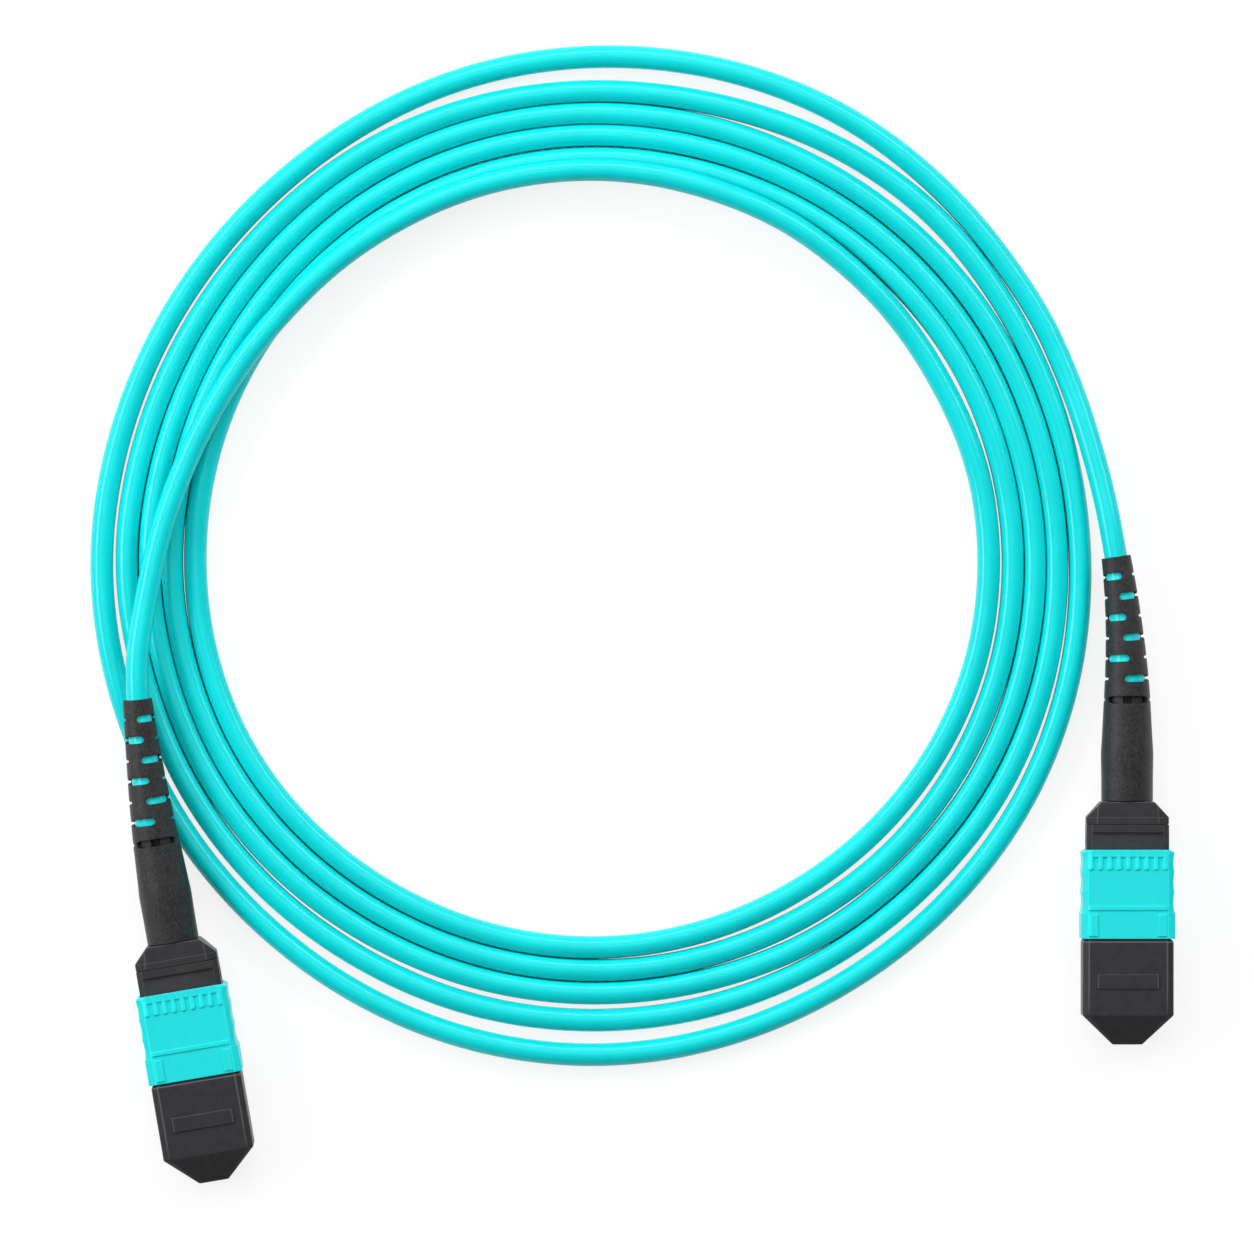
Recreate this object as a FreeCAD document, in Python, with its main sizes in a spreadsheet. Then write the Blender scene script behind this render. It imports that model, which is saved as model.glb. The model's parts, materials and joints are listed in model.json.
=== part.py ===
import FreeCAD, Part
import math
import os
import Sketcher

Vector = FreeCAD.Vector
Rotation = FreeCAD.Rotation

document = FreeCAD.newDocument("fibre_patch_cord")

# ---------------------------------------------------------------------------
# Driving sizes in millimetres and degrees. Stations run along a plug's own
# axis, from the tip of its dust cap (0) towards its strain boot.
# ---------------------------------------------------------------------------
SIZES = [
    # dust cap
    ("cap_relief", 0.1), ("cap_bevel", 0.85), ("cap_length", 14.3),
    ("cap_taper_length", 4.3), ("cap_rear_chamfer", 0.35),
    ("cap_tip_width", 3.85), ("cap_tip_height", 1.8), ("cap_front_wall", 1.6),
    ("cap_tip_hollow_width", 5.2), ("cap_tip_hollow_height", 2.4), ("cap_tip_hollow_depth", 1.7),
    ("cap_step_width", 8.6), ("cap_step_height", 4.9), ("cap_step_depth", 1.5),
    ("cap_clearance", 0.15), ("cap_bar_width", 8.25), ("cap_bar_length", 1.9),
    ("cap_bar_setback", 6.65), ("cap_bar_height", 0.25), ("cap_sleeve_gap", 0.05),
    ("cut_margin", 1.0),
    # housing
    ("nose_in_cap", 5.8), ("nose_side_step", 0.7), ("nose_flat_step", 0.4), ("nose_bevel", 0.4),
    ("nose_chamfer", 0.5), ("key_width", 3.1), ("key_length", 4.2), ("key_height", 0.45),
    ("key_setback", 1.0), ("shoulder_in_sleeve", 1.55), ("rear_length", 4.9), ("rear_bevel", 0.7),
    ("rib_length", 1.0), ("rib_inset", 0.75), ("rib_height", 0.35),
    ("lug_setback", 6.45), ("lug_length", 1.5), ("lug_width", 5.0), ("lug_height", 0.4),
    ("channel_clearance", 0.1), ("window_length", 1.7), ("window_height", 2.4),
    ("window_setback", 1.2),
    # coupling sleeve
    ("sleeve_width", 12.3), ("sleeve_height", 8.0), ("sleeve_bevel", 0.85),
    ("sleeve_length", 12.0), ("sleeve_wall", 0.6), ("sleeve_collar", 1.2),
    ("sleeve_clearance", 0.12), ("sleeve_travel", 2.2), ("sleeve_step_depth", 0.13),
    ("sleeve_step_length", 3.45),
    ("relief", 0.2), ("lip_width", 10.6), ("lip_length", 1.0), ("grip_count", 9.0),
    ("grip_pitch", 1.25), ("grip_width", 0.5), ("grip_length", 1.8), ("grip_height", 0.15),
    ("ridge_setback", 7.6), ("ridge_length", 0.5), ("pad_width", 1.2), ("pad_length", 2.9),
    ("pad_setback", 0.35), ("scallop_radius", 1.0), ("scallop_depth", 0.18),
    ("scallop_pitch", 2.55), ("scallop_setback", 3.1), ("stop_length", 1.0),
    ("stop_width", 6.0), ("stop_clearance", 0.05),
    # coupling springs
    ("spring_diameter", 1.3), ("spring_wire", 0.24), ("spring_turns", 5.0),
    # ferrule and what is behind it
    ("ferrule_protrusion", 0.4), ("ferrule_width", 6.4), ("ferrule_height", 2.5),
    ("ferrule_length", 8.0), ("flange_width", 7.0), ("flange_height", 3.0),
    ("flange_length", 2.0), ("pin_hole_diameter", 0.7), ("pin_hole_spacing", 4.6),
    ("ferrule_clearance", 0.06), ("ferrule_window_length", 2.6),
    ("ferrule_window_width", 3.2), ("ferrule_window_depth", 0.6),
    ("boot_pocket_depth", 3.0), ("float_travel", 0.8),
    ("cavity_width", 7.2), ("cavity_height", 4.6), ("keeper_width", 6.8),
    ("keeper_height", 3.4), ("keeper_length", 2.0), ("ferrule_boot_width", 3.9),
    ("ferrule_boot_height", 1.5), ("ferrule_boot_tail", 0.8), ("seat_clearance", 0.05),
    ("ferrule_spring_wire", 0.5), ("ferrule_spring_width", 6.6),
    ("ferrule_spring_height", 4.1), ("ferrule_spring_turns", 4.0),
    ("ribbon_width", 3.1), ("ribbon_thickness", 0.32), ("ribbon_end_gap", 0.9),
    # spring push with its collar and crimp stub
    ("push_insert", 4.7), ("collar_gap", 0.2), ("collar_band", 1.1), ("collar_bevel", 1.4),
    ("collar_taper", 1.85), ("stub_diameter", 4.4), ("stub_length", 5.5),
    ("stub_bore", 3.5), ("latch_height", 2.2), ("latch_depth", 0.9),
    # crimp
    ("yarn_thickness", 0.25), ("crimp_wall", 0.3), ("crimp_clearance", 0.05),
    ("crimp_step_length", 0.6), ("crimp_neck", 3.0), ("crimp_setback", 0.4), ("cord_room", 0.1),
    # strain boot
    ("boot_front_diameter", 7.15), ("boot_belly_length", 6.5), ("boot_tube_length", 13.2),
    ("boot_waist_diameter", 6.4),
    ("boot_tip_diameter", 4.0), ("boot_flex_length", 19.9), ("boot_clearance", 0.15),
    ("boot_core_diameter", 4.9), ("ring_slot_width", 1.0), ("slot_first", 3.4),
    ("slot_pitch", 2.78), ("slot_count", 6.0), ("slot_width", 0.95), ("slot_angle", 50.0),
    ("post_width", 1.9), ("ring_post_angle", 28.0), ("ring_post_width", 1.1), ("post_inset", 0.05),
    ("ring_window_width", 5.0), ("ring_side_depth", 0.15),
    # how the two plugs lie
    ("near_bend", 8.6), ("far_bend", -4.2), ("far_yaw", 9.6), ("far_pitch", 2.5),
    ("far_place_x", -123.35), ("far_place_y", -51.52),
    # cord and coil
    ("cord_diameter", 3.0), ("cord_lead", 4.0), ("coil_place_x", -72.3), ("coil_place_y", 32.76),
    ("coil_step_angle", 30.0),
]

sheet = document.addObject("Spreadsheet::Sheet", "sizes")
for row, (alias, number) in enumerate(SIZES, start=1):
    sheet.set(f"A{row}", alias.replace("_", " "))
    sheet.set(f"B{row}", str(number))
    sheet.setAlias(f"B{row}", alias)
document.recompute()


class Size:
    """A length that knows its number and the sheet expression it comes from."""

    def __init__(self, number, text):
        self.number = float(number)
        self.text = text

    def __add__(self, other):
        other = as_size(other)
        return Size(self.number + other.number, f"({self.text} + {other.text})")

    def __sub__(self, other):
        other = as_size(other)
        return Size(self.number - other.number, f"({self.text} - {other.text})")

    def __mul__(self, factor):
        return Size(self.number * factor, f"({self.text} * {factor})")

    def __truediv__(self, divisor):
        return Size(self.number / divisor, f"({self.text} / {divisor})")

    def __neg__(self):
        return Size(-self.number, f"(-1 * {self.text})")


def as_size(value):
    return value if isinstance(value, Size) else Size(value, str(value))


def size(alias):
    return Size(sheet.get(alias), f"sizes.{alias}")


def number(alias):
    return float(sheet.get(alias))


# ---------------------------------------------------------------------------
# Small helpers round the PartDesign features
# ---------------------------------------------------------------------------
def new_body(label):
    body = document.addObject("PartDesign::Body", label)
    body.Label = label
    return body


def new_sketch(body, role, station, name):
    """A sketch on one of the body's origin planes, moved along that plane's normal."""
    sketch = body.newObject("Sketcher::SketchObject", name)
    plane = [f for f in body.Origin.OriginFeatures if f.Role == role][0]
    sketch.AttachmentSupport = [(plane, "")]
    sketch.MapMode = "FlatFace"
    sketch.setExpression("AttachmentOffset.Base.z", as_size(station).text)
    return sketch


def draw_polygon(sketch, corners):
    """Closed outline through corners, each one dimensioned from the sketch origin."""
    corners = [(as_size(x), as_size(y)) for x, y in corners]
    first = sketch.GeometryCount
    count = len(corners)
    for i, (x, y) in enumerate(corners):
        next_x, next_y = corners[(i + 1) % count]
        start = Vector(x.number, y.number, 0)
        end = Vector(next_x.number, next_y.number, 0)
        sketch.addGeometry(Part.LineSegment(start, end), False)
    for i in range(count):
        following = first + (i + 1) % count
        sketch.addConstraint(Sketcher.Constraint("Coincident", first + i, 2, following, 1))
    for i, (x, y) in enumerate(corners):
        for kind, length in (("DistanceX", x), ("DistanceY", y)):
            rule = Sketcher.Constraint(kind, -1, 1, first + i, 1, length.number)
            index = sketch.addConstraint(rule)
            sketch.setExpression(f"Constraints[{index}]", length.text)


def draw_circle(sketch, centre_x, centre_y, diameter):
    centre_x = as_size(centre_x)
    centre_y = as_size(centre_y)
    diameter = as_size(diameter)
    centre = Vector(centre_x.number, centre_y.number, 0)
    circle = Part.Circle(centre, Vector(0, 0, 1), diameter.number / 2)
    item = sketch.addGeometry(circle, False)
    rules = [
        (Sketcher.Constraint("DistanceX", -1, 1, item, 3, centre_x.number), centre_x),
        (Sketcher.Constraint("DistanceY", -1, 1, item, 3, centre_y.number), centre_y),
        (Sketcher.Constraint("Diameter", item, diameter.number), diameter),
    ]
    for rule, length in rules:
        index = sketch.addConstraint(rule)
        sketch.setExpression(f"Constraints[{index}]", length.text)


def box_corners(width, height, centre_x=0.0, centre_y=0.0):
    centre_x = as_size(centre_x)
    centre_y = as_size(centre_y)
    left = centre_x - width / 2
    right = centre_x + width / 2
    low = centre_y - height / 2
    high = centre_y + height / 2
    return [(left, low), (right, low), (right, high), (left, high)]


def bevelled_corners(width, height, bevel):
    """A rectangle about the origin with its four corners cut at 45 degrees."""
    x = width / 2
    y = height / 2
    return [
        (-(x - bevel), -y), (x - bevel, -y), (x, -(y - bevel)), (x, y - bevel),
        (x - bevel, y), (-(x - bevel), y), (-x, y - bevel), (-x, -(y - bevel)),
    ]


def section(body, name, station, corners):
    sketch = new_sketch(body, "XY_Plane", station, name)
    draw_polygon(sketch, corners)
    return sketch


def pad(body, sketch, length, name):
    feature = body.newObject("PartDesign::Pad", name)
    feature.Profile = sketch
    feature.setExpression("Length", as_size(length).text)
    document.recompute()
    return feature


def pocket(body, sketch, length, name):
    """Cuts towards +Z, away from the sketch, and checks that it removed material."""
    before = body.Shape.Volume
    feature = body.newObject("PartDesign::Pocket", name)
    feature.Profile = sketch
    feature.Reversed = True
    feature.setExpression("Length", as_size(length).text)
    document.recompute()
    if not feature.Shape.Volume < before:
        raise RuntimeError(f"{body.Label}: {name} cut nothing")
    return feature


def loft(body, kind, sketches, name):
    feature = body.newObject(f"PartDesign::{kind}Loft", name)
    feature.Profile = sketches[0]
    feature.Sections = sketches[1:]
    feature.Ruled = True
    document.recompute()
    return feature


# Stations that several pieces share
sleeve_front = size("cap_length") + size("cap_sleeve_gap")
sleeve_rear = sleeve_front + size("sleeve_length")
sleeve_bore_width = size("sleeve_width") - size("sleeve_wall") * 2
sleeve_bore_height = size("sleeve_height") - size("sleeve_wall") * 2
rear_width = sleeve_bore_width - size("sleeve_clearance") * 2
rear_height = sleeve_bore_height - size("sleeve_clearance") * 2
nose_width = rear_width - size("nose_side_step") * 2
nose_height = rear_height - size("nose_flat_step") * 2
cap_width = size("sleeve_width") - size("cap_relief") * 2
cap_height = size("sleeve_height") - size("cap_relief") * 2
cap_hollow_width = nose_width + size("cap_clearance") * 2
cap_hollow_height = nose_height + size("cap_clearance") * 2
housing_front = size("cap_length") - size("nose_in_cap")
shoulder_station = sleeve_rear - size("shoulder_in_sleeve")
housing_end = shoulder_station + size("rear_length")
lug_station = sleeve_rear - size("lug_setback")
spring_front = sleeve_front + size("sleeve_collar")
spring_centre = sleeve_bore_width / 2 - size("channel_clearance") - size("spring_diameter") / 2
ferrule_front = housing_front - size("ferrule_protrusion")
ferrule_rear = ferrule_front + size("ferrule_length")
flange_front = ferrule_rear - size("flange_length")
keeper_rear = ferrule_rear + size("keeper_length")
boot_pocket_width = size("ferrule_boot_width") + size("seat_clearance") * 2
boot_pocket_height = size("ferrule_boot_height") + size("seat_clearance") * 2
collar_front = housing_end + size("collar_gap")
push_front = collar_front - size("push_insert")
collar_rear = collar_front + size("collar_band") + size("collar_taper")
stub_end = collar_rear + size("stub_length")
yarn_bore = size("stub_diameter") + size("crimp_clearance") * 2
yarn_outer = yarn_bore + size("yarn_thickness") * 2
ring_bore = yarn_outer + size("crimp_clearance") * 2
ring_outer = (ring_bore + size("crimp_wall") * 2) * 1.1547
cord_start = stub_end + size("crimp_clearance")
boot_waist = collar_rear + size("boot_tube_length")


# ---------------------------------------------------------------------------
# The pieces of one plug, each modelled along the plug's own +Z axis
# ---------------------------------------------------------------------------
def dust_cap(label):
    """Hollow cap: bevelled block cut to a pyramid tip, a grip bar on each flat side."""
    body = new_body(label)
    outline = bevelled_corners(cap_width, cap_height, size("cap_bevel"))
    pad(body, section(body, "block_outline", 0.0, outline), size("cap_length"), "block")
    taper = size("cap_taper_length")
    chamfer = size("cap_rear_chamfer")
    margin = size("cut_margin")
    cuts = (
        ("XZ_Plane", "side", cap_width / 2, size("cap_tip_width") / 2, cap_height),
        ("YZ_Plane", "flat", cap_height / 2, size("cap_tip_height") / 2, cap_width),
    )
    for role, name, edge, tip, through in cuts:
        slopes = new_sketch(body, role, -through, f"{name}_slopes")
        beyond = edge + margin
        for hand in (1, -1):
            corners = [(tip, 0.0), (beyond, 0.0), (beyond, taper + margin), (edge, taper)]
            rear = [
                (edge, size("cap_length") - chamfer),
                (beyond, size("cap_length") - chamfer - margin),
                (beyond, size("cap_length")), (edge - chamfer, size("cap_length")),
            ]
            for outline in (corners, rear):
                draw_polygon(slopes, [(x * hand, y) for x, y in outline])
        pocket(body, slopes, through * 2, f"{name}_tapers")
    bar_height = cap_height + size("cap_bar_height") * 2
    bar = section(
        body, "grip_bar_outline", size("cap_length") - size("cap_bar_setback"),
        box_corners(size("cap_bar_width"), bar_height),
    )
    pad(body, bar, size("cap_bar_length"), "grip_bars")
    step_front = size("cap_front_wall") + size("cap_tip_hollow_depth")
    hollow_front = step_front + size("cap_step_depth")
    hollows = (
        ("tip_hollow", size("cap_front_wall"), size("cap_tip_hollow_depth"),
         size("cap_tip_hollow_width"), size("cap_tip_hollow_height")),
        ("step_hollow", step_front, size("cap_step_depth"),
         size("cap_step_width"), size("cap_step_height")),
        ("nose_hollow", hollow_front, size("cap_length") - hollow_front,
         cap_hollow_width, cap_hollow_height),
    )
    for name, station, depth, width, height in hollows:
        sketch = section(body, f"{name}_outline", station, box_corners(width, height))
        pocket(body, sketch, depth, name)
    key_front = housing_front + size("key_setback") - size("cap_clearance")
    key_room = size("key_height") + size("cap_clearance")
    key_slot = section(
        body, "key_slot_outline", key_front,
        box_corners(
            size("key_width") + size("cap_clearance") * 2, key_room,
            0.0, nose_height / 2 + key_room / 2,
        ),
    )
    pocket(body, key_slot, size("cap_length") - key_front, "key_slot")
    return body


def inner_housing(label):
    """Nose with its key and spring channels, wider rear end with ribs and latch windows."""
    body = new_body(label)
    nose = (nose_width, nose_height, size("nose_bevel"))
    lead_in = (
        nose_width - size("nose_chamfer") * 2,
        nose_height - size("nose_chamfer") * 2,
        size("nose_bevel") / 2,
    )
    chamfer_end = housing_front + size("nose_chamfer")
    front = section(body, "front_outline", housing_front, bevelled_corners(*lead_in))
    back = section(body, "front_chamfer_outline", chamfer_end, bevelled_corners(*nose))
    loft(body, "Additive", [front, back], "lead_in")
    nose_sketch = section(body, "nose_outline", chamfer_end, bevelled_corners(*nose))
    pad(body, nose_sketch, shoulder_station - chamfer_end, "nose")
    rear = (rear_width, rear_height, size("rear_bevel"))
    rear_sketch = section(body, "rear_outline", shoulder_station, bevelled_corners(*rear))
    pad(body, rear_sketch, housing_end - shoulder_station, "rear")
    rib = section(
        body, "rib_outline", housing_end - size("rib_length"),
        box_corners(rear_width - size("rib_inset") * 2, rear_height + size("rib_height") * 2),
    )
    pad(body, rib, size("rib_length"), "ribs")
    key = section(
        body, "key_outline", housing_front + size("key_setback"),
        box_corners(
            size("key_width"), size("key_height") * 2,
            0.0, nose_height / 2,
        ),
    )
    pad(body, key, size("key_length"), "key")
    lug = section(
        body, "lug_outline", lug_station,
        box_corners(size("lug_width"), nose_height + size("lug_height") * 2),
    )
    pad(body, lug, size("lug_length"), "sleeve_lugs")
    channels = new_sketch(body, "XY_Plane", spring_front, "channel_outline")
    channel = size("spring_diameter") + size("channel_clearance") * 2
    draw_circle(channels, spring_centre, 0.0, channel)
    draw_circle(channels, -spring_centre, 0.0, channel)
    pocket(body, channels, shoulder_station - spring_front, "spring_channels")
    aperture = section(
        body, "aperture_outline", housing_front,
        box_corners(
            size("ferrule_width") + size("ferrule_clearance") * 2,
            size("ferrule_height") + size("ferrule_clearance") * 2,
        ),
    )
    pocket(body, aperture, flange_front - housing_front, "ferrule_aperture")
    cavity = section(
        body, "cavity_outline", flange_front,
        box_corners(size("cavity_width"), size("cavity_height")),
    )
    pocket(body, cavity, housing_end - flange_front, "spring_cavity")
    window = section(
        body, "window_outline", housing_end - size("window_setback") - size("window_length"),
        box_corners(rear_width + size("cut_margin"), size("window_height")),
    )
    pocket(body, window, size("window_length"), "latch_windows")
    return body


def coupling_sleeve(label):
    """Sliding sleeve: collar in front, open behind, relief on both flat sides."""
    body = new_body(label)
    outline = (size("sleeve_width"), size("sleeve_height"), size("sleeve_bevel"))
    tube = section(body, "outline", sleeve_front, bevelled_corners(*outline))
    pad(body, tube, size("sleeve_length"), "tube")
    step = section(
        body, "step_outline", sleeve_front,
        box_corners(
            size("sleeve_width") + size("sleeve_step_depth") * 2,
            size("sleeve_height") - size("sleeve_bevel") * 2,
        ),
    )
    pad(body, step, size("sleeve_step_length"), "front_step")
    raised = size("sleeve_height") + size("relief") * 2
    lip = section(
        body, "lip_outline", sleeve_rear - size("lip_length"), box_corners(size("lip_width"), raised)
    )
    pad(body, lip, size("lip_length"), "rear_lip")
    ridge = section(
        body, "ridge_outline", sleeve_front + size("sleeve_length") - size("ridge_setback")
        - size("ridge_length"),
        box_corners(size("lip_width"), size("sleeve_height") + size("grip_height") * 2),
    )
    pad(body, ridge, size("ridge_length"), "cross_ridge")
    pads = new_sketch(body, "XY_Plane", sleeve_front + size("pad_setback"), "pad_outline")
    pad_centre = size("lip_width") / 2 - size("pad_width") / 2
    for side in (pad_centre, -pad_centre):
        draw_polygon(pads, box_corners(size("pad_width"), raised, side))
    pad(body, pads, size("pad_length"), "corner_pads")
    first_grip = -(size("grip_pitch") * ((number("grip_count") - 1) / 2))
    grip_start = sleeve_rear - size("lip_length") - size("grip_length")
    grip = section(
        body, "grip_outline", grip_start,
        box_corners(
            size("grip_width"), size("sleeve_height") + size("grip_height") * 2, first_grip
        ),
    )
    grip_pad = pad(body, grip, size("grip_length"), "grip_rib")
    pattern = body.newObject("PartDesign::LinearPattern", "grip_ribs")
    pattern.Originals = [grip_pad]
    pattern.Direction = (grip, ["H_Axis"])
    pattern.setExpression("Length", (size("grip_pitch") * (number("grip_count") - 1)).text)
    pattern.setExpression("Occurrences", size("grip_count").text)
    body.Tip = pattern
    document.recompute()
    scallops = new_sketch(body, "XZ_Plane", -size("sleeve_height"), "scallop_outline")
    reach = size("sleeve_width") / 2 + size("scallop_radius") - size("scallop_depth")
    for step_index in range(3):
        drop = size("scallop_setback") + size("scallop_pitch") * step_index
        for side in (reach, -reach):
            draw_circle(scallops, side, sleeve_rear - drop, size("scallop_radius") * 2)
    pocket(body, scallops, size("sleeve_height") * 2, "side_scallops")
    collar = section(
        body, "collar_outline", sleeve_front, box_corners(cap_hollow_width, cap_hollow_height)
    )
    pocket(body, collar, size("sleeve_collar"), "collar_aperture")
    bore = section(
        body, "bore_outline", spring_front, box_corners(sleeve_bore_width, sleeve_bore_height)
    )
    pocket(body, bore, sleeve_rear - spring_front, "bore")
    stop_station = lug_station + size("lug_length") + size("stop_clearance")
    stop_gap = nose_height / 2 + size("sleeve_clearance")
    stop_height = sleeve_bore_height / 2 - stop_gap
    stop_centre = sleeve_bore_height / 2 - stop_height / 2
    stops = new_sketch(body, "XY_Plane", stop_station, "stop_outline")
    for side in (stop_centre, -stop_centre):
        draw_polygon(stops, box_corners(size("stop_width"), stop_height, 0.0, side))
    pad(body, stops, size("stop_length"), "forward_stops")
    return body


def mt_ferrule(label):
    """Moulded ferrule: flange behind, two guide-pin holes, pocket for the ribbon's boot."""
    body = new_body(label)
    block = section(
        body, "block_outline", ferrule_front,
        box_corners(size("ferrule_width"), size("ferrule_height")),
    )
    pad(body, block, size("ferrule_length"), "block")
    flange = section(
        body, "flange_outline", flange_front,
        box_corners(size("flange_width"), size("flange_height")),
    )
    pad(body, flange, size("flange_length"), "flange")
    holes = new_sketch(body, "XY_Plane", ferrule_front, "pin_hole_outline")
    for side in (size("pin_hole_spacing") / 2, -(size("pin_hole_spacing") / 2)):
        draw_circle(holes, side, 0.0, size("pin_hole_diameter"))
    pocket(body, holes, size("ferrule_length"), "pin_holes")
    rear = section(
        body, "boot_pocket_outline", ferrule_rear - size("boot_pocket_depth"),
        box_corners(boot_pocket_width, boot_pocket_height),
    )
    pocket(body, rear, size("boot_pocket_depth"), "boot_pocket")
    window_rear = flange_front - size("ferrule_window_length") / 2
    window = section(
        body, "window_outline", window_rear - size("ferrule_window_length"),
        box_corners(
            size("ferrule_window_width"), size("ferrule_window_depth") * 2,
            0.0, size("ferrule_height") / 2,
        ),
    )
    pocket(body, window, size("ferrule_window_length"), "adhesive_window")
    return body


def guide_pin_keeper(label):
    body = new_body(label)
    plate = section(
        body, "plate_outline", ferrule_rear, box_corners(size("keeper_width"), size("keeper_height"))
    )
    pad(body, plate, size("keeper_length"), "plate")
    window = section(
        body, "window_outline", ferrule_rear, box_corners(boot_pocket_width, boot_pocket_height)
    )
    pocket(body, window, size("keeper_length"), "window")
    return body


ribbon_slot_width = size("ribbon_width") + size("seat_clearance") * 2
ribbon_slot_height = size("ribbon_thickness") + size("seat_clearance") * 2
ferrule_boot_front = ferrule_rear - size("boot_pocket_depth") + size("seat_clearance")
ferrule_boot_rear = keeper_rear + size("ferrule_boot_tail")


def ferrule_boot(label):
    body = new_body(label)
    length = ferrule_boot_rear - ferrule_boot_front
    block = section(
        body, "outline", ferrule_boot_front,
        box_corners(size("ferrule_boot_width"), size("ferrule_boot_height")),
    )
    pad(body, block, length, "block")
    slot = section(
        body, "slot_outline", ferrule_boot_front, box_corners(ribbon_slot_width, ribbon_slot_height)
    )
    pocket(body, slot, length, "ribbon_slot")
    return body


def fibre_ribbon(label):
    """Flat twelve-fibre ribbon from the ferrule's boot into the crimp stub."""
    body = new_body(label)
    flat = section(
        body, "outline", ferrule_boot_front,
        box_corners(size("ribbon_width"), size("ribbon_thickness")),
    )
    pad(body, flat, stub_end - size("ribbon_end_gap") - ferrule_boot_front, "ribbon")
    return body


def oval_coil(label, width, height, wire, start, end, turns, steps):
    """Coil of square wire: its section climbs evenly round an oval, in flat facets."""
    sections = []
    for i in range(turns * steps + 1):
        angle = 2 * math.pi * i / steps
        middle = start + wire / 2 + (end - start - wire) * i / (turns * steps)
        corners = []
        for side, rise in ((0, -1), (1, -1), (1, 1), (0, 1)):
            across = width / 2 - wire * (1 - side)
            upward = height / 2 - wire * (1 - side)
            corners.append(
                Vector(across * math.cos(angle), upward * math.sin(angle), middle + rise * wire / 2)
            )
        sections.append(corners)
    outlines = [sections[0], sections[-1]]
    for near, far in zip(sections, sections[1:]):
        for j in range(4):
            k = (j + 1) % 4
            outlines.append([near[j], near[k], far[k]])
            outlines.append([near[j], far[k], far[j]])
    faces = [Part.Face(Part.makePolygon(outline + outline[:1])) for outline in outlines]
    shell = Part.makeShell(faces)
    solid = Part.makeSolid(shell)
    if solid.Volume < 0:
        solid.reverse()
    feature = document.addObject("Part::Feature", label)
    feature.Shape = solid
    return feature


def ferrule_spring(label):
    gap = number("seat_clearance")
    return oval_coil(
        label, number("ferrule_spring_width"), number("ferrule_spring_height"),
        number("ferrule_spring_wire"), keeper_rear.number + gap, push_front.number - gap,
        int(number("ferrule_spring_turns")), 8,
    )


def coupling_spring(label):
    gap = number("seat_clearance")
    return oval_coil(
        label, number("spring_diameter"), number("spring_diameter"), number("spring_wire"),
        spring_front.number + gap, shoulder_station.number - gap,
        int(number("spring_turns")), 8,
    )


def spring_push(label):
    """Rear body: insert and latches in the housing, bevelled collar, grooved crimp stub."""
    body = new_body(label)
    insert_size = (
        size("cavity_width") - size("seat_clearance") * 2,
        size("cavity_height") - size("seat_clearance") * 2,
    )
    insert = section(body, "insert_outline", push_front, box_corners(*insert_size))
    pad(body, insert, size("push_insert"), "insert")
    latch_front = housing_end - size("window_setback") - size("window_length")
    latch = section(
        body, "latch_outline", latch_front + size("seat_clearance"),
        box_corners(size("cavity_width") + size("latch_depth") * 2, size("latch_height")),
    )
    pad(body, latch, size("window_length") - size("seat_clearance") * 2, "latches")
    collar = (rear_width, rear_height, size("collar_bevel"))
    band = section(body, "band_outline", collar_front, bevelled_corners(*collar))
    pad(body, band, size("collar_band"), "collar")
    taper_start = collar_front + size("collar_band")
    block = section(body, "taper_outline", taper_start, bevelled_corners(*collar))
    pad(body, block, size("collar_taper"), "taper_block")
    slopes = new_sketch(body, "XZ_Plane", -rear_height, "collar_slopes")
    for hand in (1, -1):
        edge = rear_width / 2 * hand
        inner = size("boot_front_diameter") / 2 * hand
        draw_polygon(
            slopes,
            [(edge, taper_start), (edge + hand, taper_start), (edge + hand, collar_rear),
             (inner, collar_rear)],
        )
    pocket(body, slopes, rear_height * 2, "collar_taper")
    stub = new_sketch(body, "XY_Plane", collar_rear, "stub_outline")
    draw_circle(stub, 0.0, 0.0, size("stub_diameter"))
    pad(body, stub, size("stub_length"), "crimp_stub")
    bore = new_sketch(body, "XY_Plane", push_front, "bore_outline")
    draw_circle(bore, 0.0, 0.0, size("stub_bore"))
    pocket(body, bore, stub_end - push_front, "bore")
    return body


def aramid_sleeve(label):
    """Strength yarns folded back over the stub, as one thin tube."""
    body = new_body(label)
    start = collar_rear + size("crimp_setback")
    tube = new_sketch(body, "XY_Plane", start, "outline")
    draw_circle(tube, 0.0, 0.0, yarn_outer)
    draw_circle(tube, 0.0, 0.0, yarn_bore)
    pad(body, tube, stub_end - start, "tube")
    return body


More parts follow.
